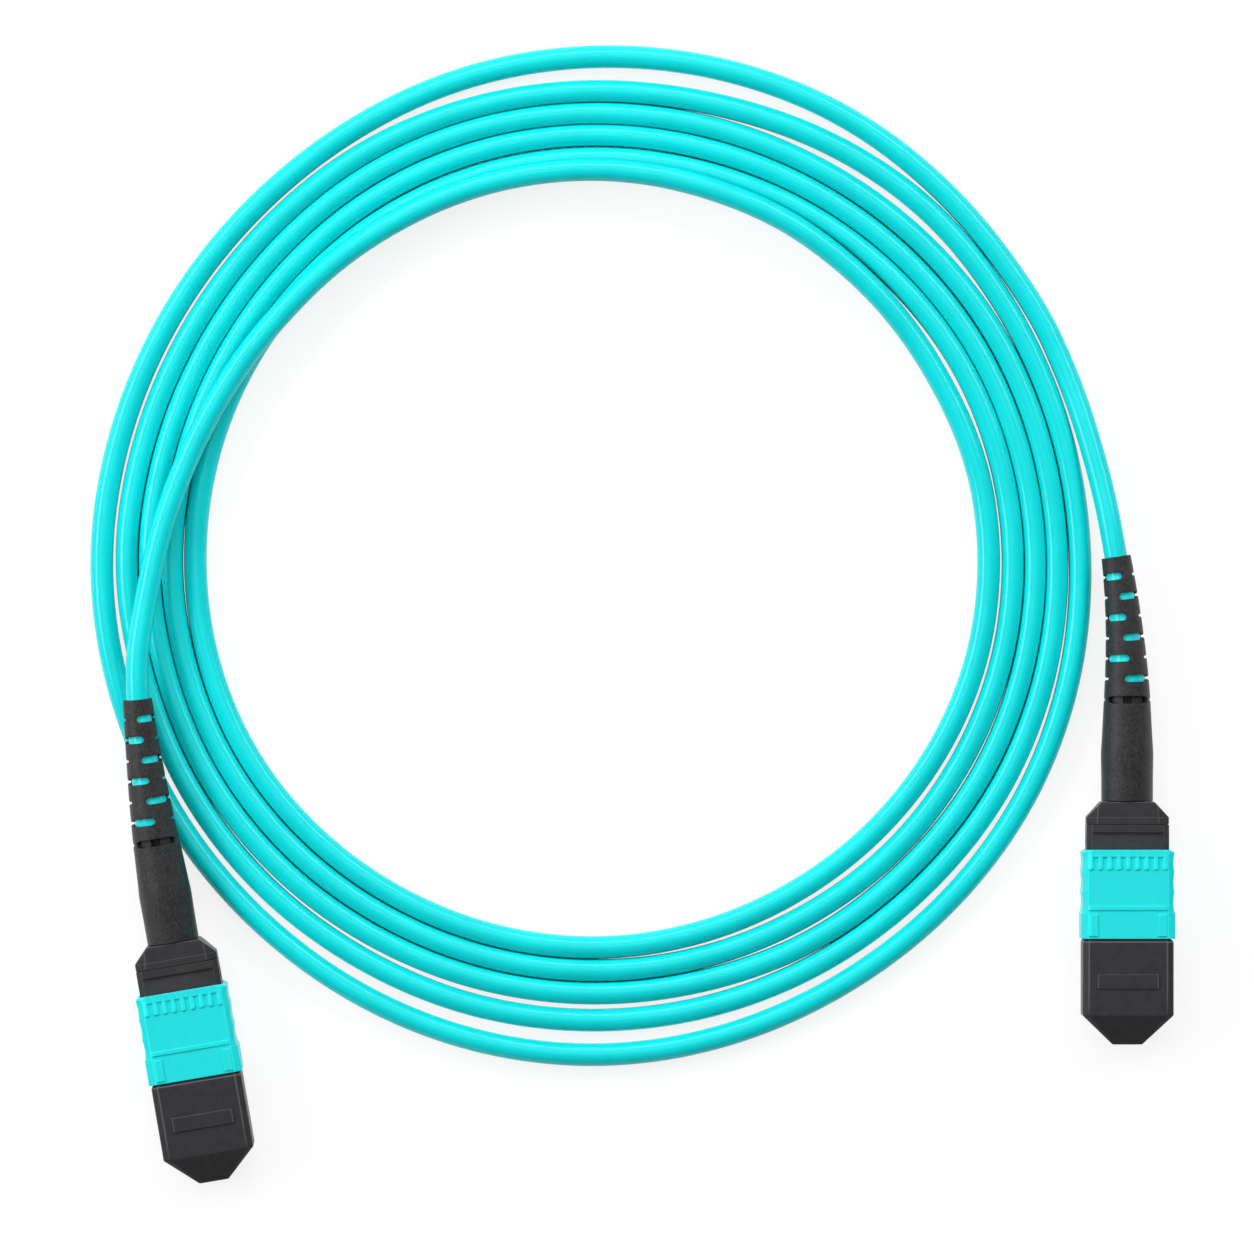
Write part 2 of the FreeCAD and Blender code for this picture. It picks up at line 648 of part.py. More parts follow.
def crimp_ring(label):
    """Metal ring: crimped to a hexagon over the yarns, stepped down to the jacket."""
    body = new_body(label)
    start = collar_rear + size("crimp_setback")
    neck_start = stub_end + size("crimp_step_length")
    end = neck_start + size("crimp_neck")
    hexagon = new_sketch(body, "XY_Plane", start, "hexagon")
    radius = ring_outer / 2
    half = ring_outer / 4
    rise = ring_outer * 0.4330127
    corners = [
        (radius, 0.0), (half, rise), (-half, rise), (-radius, 0.0), (-half, -rise), (half, -rise),
    ]
    draw_polygon(hexagon, corners)
    pad(body, hexagon, neck_start - start, "crimp")
    neck_bore = size("cord_diameter") + size("cord_room") * 2
    neck = new_sketch(body, "XY_Plane", neck_start, "neck_outline")
    draw_circle(neck, 0.0, 0.0, neck_bore + size("crimp_wall") * 2)
    pad(body, neck, size("crimp_neck"), "neck")
    wide = new_sketch(body, "XY_Plane", start, "wide_bore_outline")
    draw_circle(wide, 0.0, 0.0, ring_bore)
    pocket(body, wide, stub_end + size("crimp_clearance") - start, "wide_bore")
    bore = new_sketch(body, "XY_Plane", start, "bore_outline")
    draw_circle(bore, 0.0, 0.0, neck_bore)
    pocket(body, bore, end - start, "bore")
    return body


# ---------------------------------------------------------------------------
# Strain boot: a smooth tube, then a tapered sleeve whose windows let it bend
# ---------------------------------------------------------------------------
def boot_frame(distance, bend):
    """Placement on the boot's centreline, distance along the bent part."""
    flex = number("boot_flex_length")
    angle = math.radians(bend) * distance / flex
    radius = flex / math.radians(bend)
    across = radius * (1 - math.cos(angle))
    along = boot_waist.number + radius * math.sin(angle)
    turn = Rotation(Vector(0, 1, 0), math.degrees(angle))
    return FreeCAD.Placement(Vector(across, 0, along), turn)


def boot_ring(start, end, bend, outer, inner):
    """Straight ring of the boot between two distances along its bend."""
    frame = boot_frame((start + end) / 2, bend)
    half = (end - start) / 2
    ring = Part.makeCylinder(outer, half * 2, Vector(0, 0, -half))
    ring = ring.cut(Part.makeCylinder(inner, half * 2, Vector(0, 0, -half)))
    ring.Placement = frame
    return ring


def boot_post(distance, bend, angle, width, length, outer, inner):
    """Flat web of rubber left between two windows, let into the rings on both sides."""
    half = length / 2 + number("post_inset")
    reach = math.sqrt(outer**2 - (width / 2) ** 2)
    post = Part.makeBox(reach - inner, width, half * 2, Vector(inner, -width / 2, -half))
    post.rotate(Vector(0, 0, 0), Vector(0, 0, 1), angle)
    post.Placement = boot_frame(distance, bend).multiply(post.Placement)
    return post


def strain_boot(label, bend, flip):
    front = collar_rear.number
    waist = boot_waist.number
    front_bore = ring_outer.number / 2 + number("boot_clearance")
    cord_bore = number("cord_diameter") / 2 + number("boot_clearance")
    bore_end = stub_end.number + number("crimp_step_length") + number("crimp_neck")
    bore_end += number("boot_clearance")
    outer_radius = number("boot_front_diameter") / 2
    waist_radius = number("boot_waist_diameter") / 2
    tip_radius = number("boot_tip_diameter") / 2
    outline = [
        (front_bore, front), (outer_radius, front),
        (outer_radius, front + number("boot_belly_length")),
        (waist_radius, waist), (cord_bore, waist), (cord_bore, bore_end), (front_bore, bore_end),
    ]
    points = [Vector(radius, 0, station) for radius, station in outline]
    face = Part.Face(Part.makePolygon(points + points[:1]))
    pieces = [face.revolve(Vector(0, 0, 0), Vector(0, 0, 1), 360)]
    flex = number("boot_flex_length")
    slot = number("slot_width")
    slots = [number("slot_first") + number("slot_pitch") * i for i in range(int(number("slot_count")))]
    starts = [number("ring_slot_width")] + [station + slot / 2 for station in slots]
    ends = [station - slot / 2 for station in slots] + [flex]
    radii = []
    for start, end in zip(starts, ends):
        share = (start + end) / 2 / flex
        radius = waist_radius + (tip_radius - waist_radius) * share
        radii.append(radius)
        pieces.append(boot_ring(start, end, bend, radius, cord_bore))
    inset = number("post_inset")
    for i, station in enumerate(slots):
        left = (i % 2 == 1) != flip
        centre = number("slot_angle") if left else 180 - number("slot_angle")
        for turn in (90, 270):
            pieces.append(
                boot_post(
                    station, bend, centre + turn, number("post_width"), slot,
                    radii[i + 1] - inset, cord_bore + inset,
                )
            )
    offset = number("ring_post_angle")
    for angle in (90 - offset, 90 + offset, 270 - offset, 270 + offset):
        pieces.append(
            boot_post(
                number("ring_slot_width") / 2, bend, angle, number("ring_post_width"),
                number("ring_slot_width"), number("boot_core_diameter") / 2, cord_bore + inset,
            )
        )
    gap = number("ring_slot_width")
    wall_radius = waist_radius - number("ring_side_depth")
    sides = boot_ring(-inset, gap + inset, bend, wall_radius, cord_bore + inset)
    window = Part.makeBox(number("ring_window_width"), wall_radius * 2, gap * 2)
    window.translate(Vector(-number("ring_window_width") / 2, -wall_radius, -gap))
    window.Placement = boot_frame(gap / 2, bend).multiply(window.Placement)
    pieces.extend(sides.cut(window).Solids)
    feature = document.addObject("Part::Feature", label)
    feature.Shape = pieces[0].multiFuse(pieces[1:])
    return feature


# ---------------------------------------------------------------------------
# Placements of the two plugs
# ---------------------------------------------------------------------------
def along_y():
    """Turns a plug's own +Z axis to +Y and its key side up."""
    return Rotation(Vector(0, 1, 1), 180)


def near_placement():
    lowest = number("sleeve_height") / 2 + number("relief")
    tip = boot_frame(number("boot_flex_length"), number("near_bend"))
    rim = number("boot_tip_diameter") / 2 * math.sin(math.radians(abs(number("near_bend"))))
    half = (tip.Base.z + rim) / 2
    return FreeCAD.Placement(Vector(0, -half, lowest), along_y())


def far_placement():
    yaw = Rotation(Vector(0, 0, 1), number("far_yaw"))
    pitch = Rotation(Vector(1, 0, 0), number("far_pitch"))
    tilt = math.radians(number("far_pitch"))
    bar_front = number("cap_length") - number("cap_bar_setback")
    bar_reach = cap_height.number / 2 + number("cap_bar_height")
    height = max(
        cap_height.number / 2 * math.cos(tilt) - number("cap_taper_length") * math.sin(tilt),
        bar_reach * math.cos(tilt) - bar_front * math.sin(tilt),
    )
    place = Vector(number("far_place_x"), number("far_place_y"), height)
    return FreeCAD.Placement(place, yaw.multiply(pitch).multiply(along_y()))


placements = {"near": near_placement(), "far": far_placement()}
bends = {"near": number("near_bend"), "far": number("far_bend")}
nodes = {}

for side, placement in placements.items():
    made = [
        dust_cap(f"{side}_dust_cap"),
        inner_housing(f"{side}_inner_housing"),
        coupling_sleeve(f"{side}_coupling_sleeve"),
        mt_ferrule(f"{side}_mt_ferrule"),
        guide_pin_keeper(f"{side}_guide_pin_keeper"),
        ferrule_boot(f"{side}_ferrule_boot"),
        ferrule_spring(f"{side}_ferrule_spring"),
        fibre_ribbon(f"{side}_fibre_ribbon"),
        spring_push(f"{side}_spring_push"),
        aramid_sleeve(f"{side}_aramid_sleeve"),
        crimp_ring(f"{side}_crimp_ring"),
        strain_boot(f"{side}_strain_boot", bends[side], side == "far"),
    ]
    for item in made:
        item.Placement = placement
        nodes[item.Label] = item
    for name, hand in (("left", 1), ("right", -1)):
        coil_spring = coupling_spring(f"{side}_coupling_spring_{name}")
        offset = FreeCAD.Placement(Vector(hand * spring_centre.number, 0, 0), Rotation())
        coil_spring.Placement = placement.multiply(offset)
        nodes[coil_spring.Label] = coil_spring

# ---------------------------------------------------------------------------
# Cord: one loose turn, the coiled turns as one ring, one turn lying on top
# ---------------------------------------------------------------------------
cord_radius = number("cord_diameter") / 2
centre = Vector(number("coil_place_x"), number("coil_place_y"), 0)

# angle, radius and height of the route's corners about the coil's centre
NEAR_ROUTE = [(11, 69.35, 3.0), (20, 69.0, 1.5), (29.75, 68.45, 1.5)]
FAR_ROUTE = [
    (32, 53.1, 1.5), (47, 52.9, 2.7), (64, 53.1, 4.2), (85, 53.2, 4.5), (106, 53.3, 4.5),
    (127, 53.5, 4.5), (146, 54.1, 4.5), (161, 55.7, 4.6), (175, 58.2, 5.2), (186, 60.7, 6.2),
]
# radii, evenly spaced round one turn: outer edge of the loose first turn and of the turn
# that follows it, from the step between the two; then the edge of the hole in the coil
OUTER_RADII = [
    69.88, 70.01, 70.22, 69.74, 69.14, 68.46, 67.72, 67.24, 67.11, 67.45, 67.78, 67.85, 67.9,
    67.99, 68.32, 68.66, 68.8, 68.53, 68.26, 68.39, 68.39, 68.12, 67.45, 67.04, 66.77,
]
INNER_RADII = [
    52.08, 51.88, 51.61, 51.43, 51.61, 52.4, 52.42, 52.3, 52.24, 52.2, 52.15, 52.15, 52.15,
    52.24, 52.22, 51.74, 51.34, 51.07, 50.93, 51.1, 51.27, 51.54, 51.88, 52.11, 52.08,
]


def on_coil(angle, radius, height=0.0):
    turn = math.radians(angle)
    return centre + Vector(radius * math.cos(turn), radius * math.sin(turn), height)


def rounded_path(corners, radii):
    """Straight runs joined by tangent arcs; a corner with no radius of its own shares its runs."""
    runs = [after - before for before, after in zip(corners, corners[1:])]
    half_turns = {i: runs[i - 1].getAngle(runs[i]) / 2 for i in range(1, len(runs))}
    reaches = {i: radius * math.tan(half_turns[i]) for i, radius in radii.items()}
    spare = [run.Length - reaches.get(i, 0) - reaches.get(i + 1, 0) for i, run in enumerate(runs)]
    edges = []
    printed = []
    start = corners[0]
    for i, half_turn in half_turns.items():
        reach = reaches.get(i, 0.45 * min(spare[i - 1], spare[i]))
        if reach <= 0:
            raise RuntimeError(f"no room for the arc at corner {i}")
        radius = reach / math.tan(half_turn)
        into = Vector(runs[i - 1]).normalize()
        out = Vector(runs[i]).normalize()
        first = corners[i] - into * reach
        last = corners[i] + out * reach
        towards = (out - into).normalize()
        middle = corners[i] + towards * (radius / math.cos(half_turn) - radius)
        if (first - start).Length > 1e-6:
            edges.append(Part.LineSegment(start, first).toShape())
        edges.append(Part.Arc(first, middle, last).toShape())
        printed.append(round(radius, 1))
        start = last
    edges.append(Part.LineSegment(start, corners[-1]).toShape())
    return Part.Wire(edges), printed


def cord_tube(label, corners, radii):
    path, printed = rounded_path(corners, radii)
    heading = (corners[1] - corners[0]).normalize()
    sideways = heading.cross(Vector(0, 0, 1)).normalize()
    upright = sideways.cross(heading)
    sides = 10
    reach = cord_radius * math.sqrt(2 * math.pi / (sides * math.sin(2 * math.pi / sides)))
    rim = []
    for i in range(sides):
        angle = 2 * math.pi * i / sides
        spoke = sideways * (reach * math.cos(angle)) + upright * (reach * math.sin(angle))
        rim.append(corners[0] + spoke)
    tube = path.makePipe(Part.Face(Part.makePolygon(rim + rim[:1])))
    expected = math.pi * cord_radius**2 * path.Length
    print(f"{label}: length {path.Length:.1f} mm, arc radii {printed}")
    if abs(tube.Volume - expected) > 0.01 * expected:
        raise RuntimeError(f"{label}: volume {tube.Volume:.1f}, expected {expected:.1f}")
    feature = document.addObject("Part::Feature", label)
    feature.Shape = tube
    nodes[label] = feature


def plug_exit(side):
    """Corners of the cord in a plug: jacket end, middle of the boot's bend, clear of the boot."""
    bend = math.radians(bends[side])
    radius = number("boot_flex_length") / bend
    corner = Vector(0, 0, boot_waist.number + radius * math.tan(bend / 2))
    tip = boot_frame(number("boot_flex_length"), bends[side])
    points = [Vector(0, 0, cord_start.number), corner, tip.multVec(Vector(0, 0, number("cord_lead")))]
    return [placements[side].multVec(point) for point in points], abs(radius)


near_exit, near_bend_radius = plug_exit("near")
near_corners = near_exit + [on_coil(*corner) for corner in NEAR_ROUTE]
cord_tube("cord_tail_near", near_corners, {1: near_bend_radius})

far_exit, far_bend_radius = plug_exit("far")
far_corners = [on_coil(*corner) for corner in FAR_ROUTE] + far_exit[::-1]
cord_tube("cord_tail_far", far_corners, {len(far_corners) - 2: far_bend_radius})


def coil_edge(radii, first_angle):
    """Arcs through points evenly spaced round one turn about the coil's centre."""
    between = 360 / (len(radii) - 1)
    points = [on_coil(first_angle + between * i, radius) for i, radius in enumerate(radii)]
    edges = []
    for i in range(0, len(points) - 2, 2):
        edges.append(Part.Arc(points[i], points[i + 1], points[i + 2]).toShape())
    return edges


outer_edges = coil_edge(OUTER_RADII, number("coil_step_angle"))
ends = [outer_edges[0].Vertexes[0].Point, outer_edges[-1].Vertexes[-1].Point]
outer_face = Part.Face(Part.Wire(outer_edges + [Part.LineSegment(*ends).toShape()]))
inner_face = Part.Face(Part.Wire(coil_edge(INNER_RADII, 0)))
ring_face = outer_face.cut(inner_face)
coil = document.addObject("Part::Feature", "cord_coil")
coil.Shape = ring_face.Faces[0].extrude(Vector(0, 0, number("cord_diameter")))
nodes["cord_coil"] = coil

# ---------------------------------------------------------------------------
# Check and write
# ---------------------------------------------------------------------------
document.recompute()
for item in document.Objects:
    if "Invalid" in item.State or "Error" in item.State:
        raise RuntimeError(f"{item.Label} failed: {item.State}")
os.makedirs("parts", exist_ok=True)
for label, item in nodes.items():
    shape = item.Shape
    if shape.isNull() or not shape.isValid() or not shape.Solids:
        raise RuntimeError(f"{label} has no valid solid")
    shape.exportStep(f"parts/{label}.step")
    print(f"{label}: {len(shape.Solids)} solid, {shape.Volume:.2f} mm3")
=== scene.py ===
import json
import math

import bmesh
import bpy
import numpy as np
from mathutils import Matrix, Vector


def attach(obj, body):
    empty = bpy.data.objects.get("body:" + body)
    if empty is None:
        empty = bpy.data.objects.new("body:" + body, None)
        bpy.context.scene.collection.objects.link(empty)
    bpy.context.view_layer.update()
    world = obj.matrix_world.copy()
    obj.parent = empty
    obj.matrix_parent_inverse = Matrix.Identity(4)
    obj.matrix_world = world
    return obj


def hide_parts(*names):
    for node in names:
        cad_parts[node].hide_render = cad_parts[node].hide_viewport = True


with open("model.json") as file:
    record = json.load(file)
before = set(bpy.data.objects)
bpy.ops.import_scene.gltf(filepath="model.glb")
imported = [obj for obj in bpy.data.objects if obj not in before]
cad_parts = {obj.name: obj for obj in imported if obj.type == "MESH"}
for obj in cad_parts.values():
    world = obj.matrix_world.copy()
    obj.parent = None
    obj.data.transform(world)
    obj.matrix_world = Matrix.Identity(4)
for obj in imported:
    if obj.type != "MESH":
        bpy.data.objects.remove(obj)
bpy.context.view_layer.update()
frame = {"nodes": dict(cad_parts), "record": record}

mm = 0.001
scene = bpy.context.scene
nodes = frame["nodes"]
mounts = {mount["name"]: mount for mount in frame["record"]["mounts"]}
print("frame loaded:", len(nodes), "nodes")


def unit(vector):
    return vector / np.linalg.norm(vector)


# a plug's own origin is the tip of its dust cap, its axes are left, up and along
def plugFrame(side):
    left = mounts[f"{side}_guide_pin_left"]
    right = mounts[f"{side}_guide_pin_right"]
    leftHole = np.array(left["pos_m"])
    rightHole = np.array(right["pos_m"])
    along = -unit(np.array(left["axis"], float))
    across = unit(leftHole - rightHole)
    holeMiddle = 8.1 + left["dims"]["length_mm"] / 2  # ferrule face, then half the hole
    origin = (leftHole + rightHole) / 2 - along * holeMiddle * mm
    return origin, across, np.cross(along, across), along


# plug millimetres (left, up, along) to metres: p = origin + x across + y up + z along
def toFrame(side, points):
    origin, across, up, along = plugFrame(side)
    points = np.asarray(points, float) * mm
    return origin + points[..., :1] * across + points[..., 1:2] * up + points[..., 2:3] * along


# the way back: metres to plug millimetres
def fromFrame(side, points):
    origin, *axes = plugFrame(side)
    return (points - origin) @ np.array(axes).T / mm


# high above the middle of the cord, looking straight down
view = {"centre": (-67.57, 23.3), "height": 1540.0, "width": 169.46, "plane": 4.0, "sensor": 36.0}

cameraData = bpy.data.cameras.new("camera")
cameraData.sensor_width = view["sensor"]
cameraData.lens = view["sensor"] * (view["height"] - view["plane"]) / view["width"]
cameraData.clip_start = 0.01
cameraData.clip_end = 20
camera = bpy.data.objects.new("camera", cameraData)
camera.location = (view["centre"][0] * mm, view["centre"][1] * mm, view["height"] * mm)
scene.collection.objects.link(camera)
scene.camera = camera

cordSizes = {
    "diameter": 3.1,
    "centre": (-72.3, 32.76),   # middle of the coil
    "step": 15,                 # degrees between two points of a turn
    "spread": 1.0102,           # the line runs inside its points by this much
    "sides": 24,
    "smoothness": 10,
    "jacketEnd": 38.4,          # start of the jacket, inside the boot
    "waist": 46.05,             # start of the boot's slotted part
    "flex": 19.9,               # and its length
    "lead": 4.0,                # straight stretch behind the boot
    "bend": {"near": 8.6, "far": -4.2},
}
# first angle of a turn, then the radius of the cord's line at every step
turnRadii = [
    (30, [68.4, 68.5, 68.7, 68.2, 67.6, 67.0, 66.1, 65.55, 65.5, 65.8, 66.3, 66.35, 66.4, 66.5,
          66.81, 67.14, 67.29, 67.09, 66.81, 66.89, 66.97, 66.56, 65.9]),
    (375, [65.5, 65.3, 65.4, 64.5, 63.3, 62.9, 62.8, 62.7, 62.2, 62.1, 62.4, 62.95, 62.6, 62.75,
          62.7, 62.49, 62.59, 62.56, 62.7, 62.84, 62.99, 63.39, 63.22, 62.8]),
    (735, [62.5, 62.2, 61.5, 60.7, 60.2, 59.9, 59.9, 59.8, 59.35, 59.2, 59.4, 59.88, 59.65, 59.7,
          59.43, 59.04, 58.9, 58.9, 59.12, 59.78, 59.93, 60.32, 60.15, 59.9]),
    (1095, [59.5, 59.1, 58.4, 57.7, 57.2, 57.0, 56.9, 56.8, 56.45, 56.35, 56.5, 56.82, 56.75, 56.7,
          56.37, 55.97, 55.84, 55.83, 56.06, 56.35, 56.86, 57.03, 57.09, 56.9]),
    (1455, [56.6, 56.2, 55.4, 54.7, 54.1, 53.9, 53.8, 53.7, 53.6, 53.6, 53.6, 53.6, 53.7, 53.7,
          53.3, 52.91, 52.77, 52.77, 52.72, 52.82, 53.14, 53.48, 53.75, 53.6]),
    (1815, [53.4]),
]
# angle, radius, height: down from the near plug, then over the coil to the far plug
leadIn = [(11, 69.35, 3.0), (20, 69.0, 1.55)]
leadOut = [
    (32, 53.1, 1.55), (47, 52.9, 2.8), (64, 53.1, 4.3), (85, 53.2, 4.65), (106, 53.3, 4.65),
    (127, 53.5, 4.65), (146, 54.1, 4.65), (161, 55.7, 4.75), (175, 58.2, 5.3), (186, 60.7, 6.2),
]


# circle about the coil's centre: x = cx + r cos a, y = cy + r sin a
def onCoil(angles, radii, heights):
    turn = np.radians(angles)
    x = cordSizes["centre"][0] + np.multiply(radii, np.cos(turn))
    y = cordSizes["centre"][1] + np.multiply(radii, np.sin(turn))
    return np.stack([x, y, np.broadcast_to(heights, x.shape)], axis=-1) * mm


# past its waist the boot's centreline is an arc: across = R (1 - cos t), along = R sin t
def bootLine(side, distance):
    bend = math.radians(cordSizes["bend"][side])
    radius = cordSizes["flex"] / bend
    angle = bend * np.clip(distance, 0, cordSizes["flex"]) / cordSizes["flex"]
    past = np.maximum(distance - cordSizes["flex"], 0)
    across = radius * (1 - np.cos(angle)) + past * np.sin(angle)
    along = cordSizes["waist"] + radius * np.sin(angle) + past * np.cos(angle)
    return across, along + np.minimum(distance, 0), angle


# cord points inside a plug: jacket end, middle of the boot's bend, clear of the boot
def plugExit(side):
    bend = math.radians(cordSizes["bend"][side])
    corner = cordSizes["waist"] + cordSizes["flex"] / bend * math.tan(bend / 2)
    across, along, _ = bootLine(side, cordSizes["flex"] + cordSizes["lead"])
    return toFrame(side, [(0, 0, cordSizes["jacketEnd"]), (0, 0, corner), (across, 0, along)])


def cordPoints():
    route = [plugExit("near"), onCoil(*np.array(leadIn).T)]
    for start, radii in turnRadii:
        angles = start + cordSizes["step"] * np.arange(len(radii))
        radii = np.array(radii) * cordSizes["spread"]
        route.append(onCoil(angles, radii, cordSizes["diameter"] / 2))
    route.append(onCoil(*np.array(leadOut).T))
    route.append(plugExit("far")[::-1])
    return np.vstack(route)


# points read along a smooth spline that has the route's points as its control points
def nurbsLine(points, smoothness):
    data = bpy.data.curves.new("cordLine", "CURVE")
    data.dimensions = "3D"
    data.resolution_u = smoothness
    spline = data.splines.new("NURBS")
    spline.points.add(len(points) - 1)
    spline.points.foreach_set("co", np.column_stack([points, np.ones(len(points))]).ravel())
    spline.order_u = 3
    spline.use_endpoint_u = True
    holder = bpy.data.objects.new("cordLine", data)
    mesh = bpy.data.meshes.new_from_object(holder)
    line = np.empty(len(mesh.vertices) * 3)
    mesh.vertices.foreach_get("co", line)
    bpy.data.objects.remove(holder)
    bpy.data.curves.remove(data)
    bpy.data.meshes.remove(mesh)
    return line.reshape(-1, 3)


# quads between neighbours of a rows x columns grid of vertices
def gridFaces(rows, columns, closeAround=True, closeAlong=False, first=0):
    along = np.arange(rows if closeAlong else rows - 1)
    around = np.arange(columns if closeAround else columns - 1)
    i, j = np.meshgrid(along, around, indexing="ij")
    nextRow = (i + 1) % rows
    nextColumn = (j + 1) % columns
    corners = [i * columns + j, i * columns + nextColumn, nextRow * columns + nextColumn,
               nextRow * columns + j]
    return np.stack(corners, axis=-1).reshape(-1, 4) + first


def meshPiece(name, vertices, faces, smooth=True):
    mesh = bpy.data.meshes.new(name)
    mesh.from_pydata(np.asarray(vertices, float).tolist(), [], [list(map(int, f)) for f in faces])
    mesh.polygons.foreach_set("use_smooth", np.full(len(mesh.polygons), smooth))
    mesh.update()
    piece = bpy.data.objects.new(name, mesh)
    scene.collection.objects.link(piece)
    return piece


def facingOut(piece):
    work = bmesh.new()
    work.from_mesh(piece.data)
    bmesh.ops.recalc_face_normals(work, faces=work.faces)
    work.to_mesh(piece.data)
    work.free()
    return piece


# 1 where a painted highlight makes the colour paler: the crowns of the outer corners
def markPaintedHighlights(piece, values):
    layer = piece.data.attributes.new("edge", "FLOAT", "POINT")
    layer.data.foreach_set("value", np.asarray(values, np.float32))


# flat faces stay flat in the shading, and their softened edges catch the light
def evenShading(piece, sharp=40):
    piece.data.set_sharp_from_angle(angle=math.radians(sharp))
    weighted = piece.modifiers.new("weighted", "WEIGHTED_NORMAL")
    weighted.weight = 100
    weighted.keep_sharp = True
    return piece


# circle carried along the line: p = line + r (across cos v + upright sin v)
def cordTube(name, line, diameter, sides):
    heading = np.gradient(line, axis=0)
    heading /= np.linalg.norm(heading, axis=1, keepdims=True)
    across = np.cross(heading, (0.0, 0.0, 1.0))
    across /= np.linalg.norm(across, axis=1, keepdims=True)
    upright = np.cross(across, heading)
    angle = np.linspace(0, 2 * math.pi, sides, endpoint=False)
    ring = np.cos(angle)[:, None] * across[:, None] + np.sin(angle)[:, None] * upright[:, None]
    vertices = (line[:, None] + ring * diameter / 2).reshape(-1, 3)
    faces = gridFaces(len(line), sides).tolist()
    last = (len(line) - 1) * sides
    faces += [list(range(sides)), list(range(last, last + sides))[::-1]]
    piece = facingOut(meshPiece(name, vertices, faces))
    piece.data.set_sharp_from_angle(angle=math.radians(50))
    return piece


line = nurbsLine(cordPoints(), cordSizes["smoothness"])
cordLength = float(np.linalg.norm(np.diff(line, axis=0), axis=1).sum())
cord = cordTube("patchCordJacket", line, cordSizes["diameter"] * mm, cordSizes["sides"])
print("cord laid:", round(cordLength, 3), "m")


# path through the keys (along, wide, high, ...) with a small three-point curve at each inner
# corner; the last two columns are 1 on the crown of an outer corner, in plan and from the side
def rounded(keys, reach):
    keys = np.array(keys, float)
    legs = np.diff(keys, axis=0)
    lengths = np.linalg.norm(legs, axis=1)
    heading = legs / lengths[:, None]
    cut = np.minimum(reach, 0.45 * np.minimum(lengths[:-1], lengths[1:]))[:, None]
    before = keys[1:-1] - heading[:-1] * cut
    after = keys[1:-1] + heading[1:] * cut
    a, b = heading[:-1], heading[1:]
    turn = a[:, 1:3] * b[:, :1] - a[:, :1] * b[:, 1:3]
    crown = np.clip((turn - 0.1) / 0.35, 0, 1)
    steps = []
    for s, share in ((0, 0), (0.5, 1), (1, 0)):
        points = (1 - s) ** 2 * before + 2 * s * (1 - s) * keys[1:-1] + s * s * after
        steps.append(np.hstack([points, crown * share]))
    inner = np.stack(steps, axis=1).reshape(-1, keys.shape[1] + 2)
    ends = np.hstack([keys[[0, -1]], np.zeros((2, 2))])
    return np.vstack([ends[:1], inner, ends[1:]])


# bevelled rectangles, one a row: straight edges joined by small curves at eight corners
# and, for each column, 1 on the crown of a corner and 0 elsewhere
def bevelledRings(wide, high, bevel, drop, soft, flatSteps=(), sideSteps=()):
    sizes = [np.asarray(size, float) for size in (wide, high, bevel, drop)]
    wide, high, bevel, drop = np.broadcast_arrays(*sizes)
    x, y = wide - bevel, high - drop
    corners = np.stack([
        np.stack(pair, axis=-1) for pair in (
            (x, high), (-x, high), (-wide, y), (-wide, -y), (-x, -high), (x, -high), (wide, -y),
            (wide, y),
        )
    ], axis=1)
    legs = np.roll(corners, -1, axis=1) - corners
    lengths = np.linalg.norm(legs, axis=2, keepdims=True)
    out = legs / lengths
    into = np.roll(out, 1, axis=1)
    cut = np.minimum(soft, 0.4 * np.minimum(lengths, np.roll(lengths, 1, axis=1)))
    start = corners - into * cut
    end = corners + out * cut
    rows = []
    crown = []
    for k in range(8):
        for s in (0, 0.5, 1):
            crest = 2 * s * (1 - s) * corners[:, k]
            rows.append((1 - s) ** 2 * start[:, k] + crest + s * s * end[:, k])
        steps = flatSteps if k in (0, 4) else sideSteps if k in (2, 6) else ()
        for s in steps:
            rows.append(end[:, k] * (1 - s) + start[:, (k + 1) % 8] * s)
        crown += [0, 1, 0] + [0] * len(steps)
    return np.stack(rows, axis=1), np.array(crown, float)


# 1 between low and high, 0 outside, with an even slope of width soft at each side
def step(value, low, high, soft):
    rise = np.clip((value - low) / soft + 0.5, 0, 1)
    fall = np.clip((high - value) / soft + 0.5, 0, 1)
    return rise * fall


# grid lines just outside and inside each edge of the spans
def edgesOf(spans, soft):
    lines = []
    for low, high in spans:
        lines += [low + soft * share for share in (-0.5, 0.5, 2)]
        lines += [high - soft * share for share in (2, 0.5, -0.5)]
    return sorted(set(np.round(lines, 4)))


# fractions along a flat edge, from +x to -x, for lines at those positions
def flatStepsFor(positions, halfFlat):
    shares = (1 - np.array(positions) / halfFlat) / 2
    return sorted(float(s) for s in shares if 0.01 < s < 0.99)
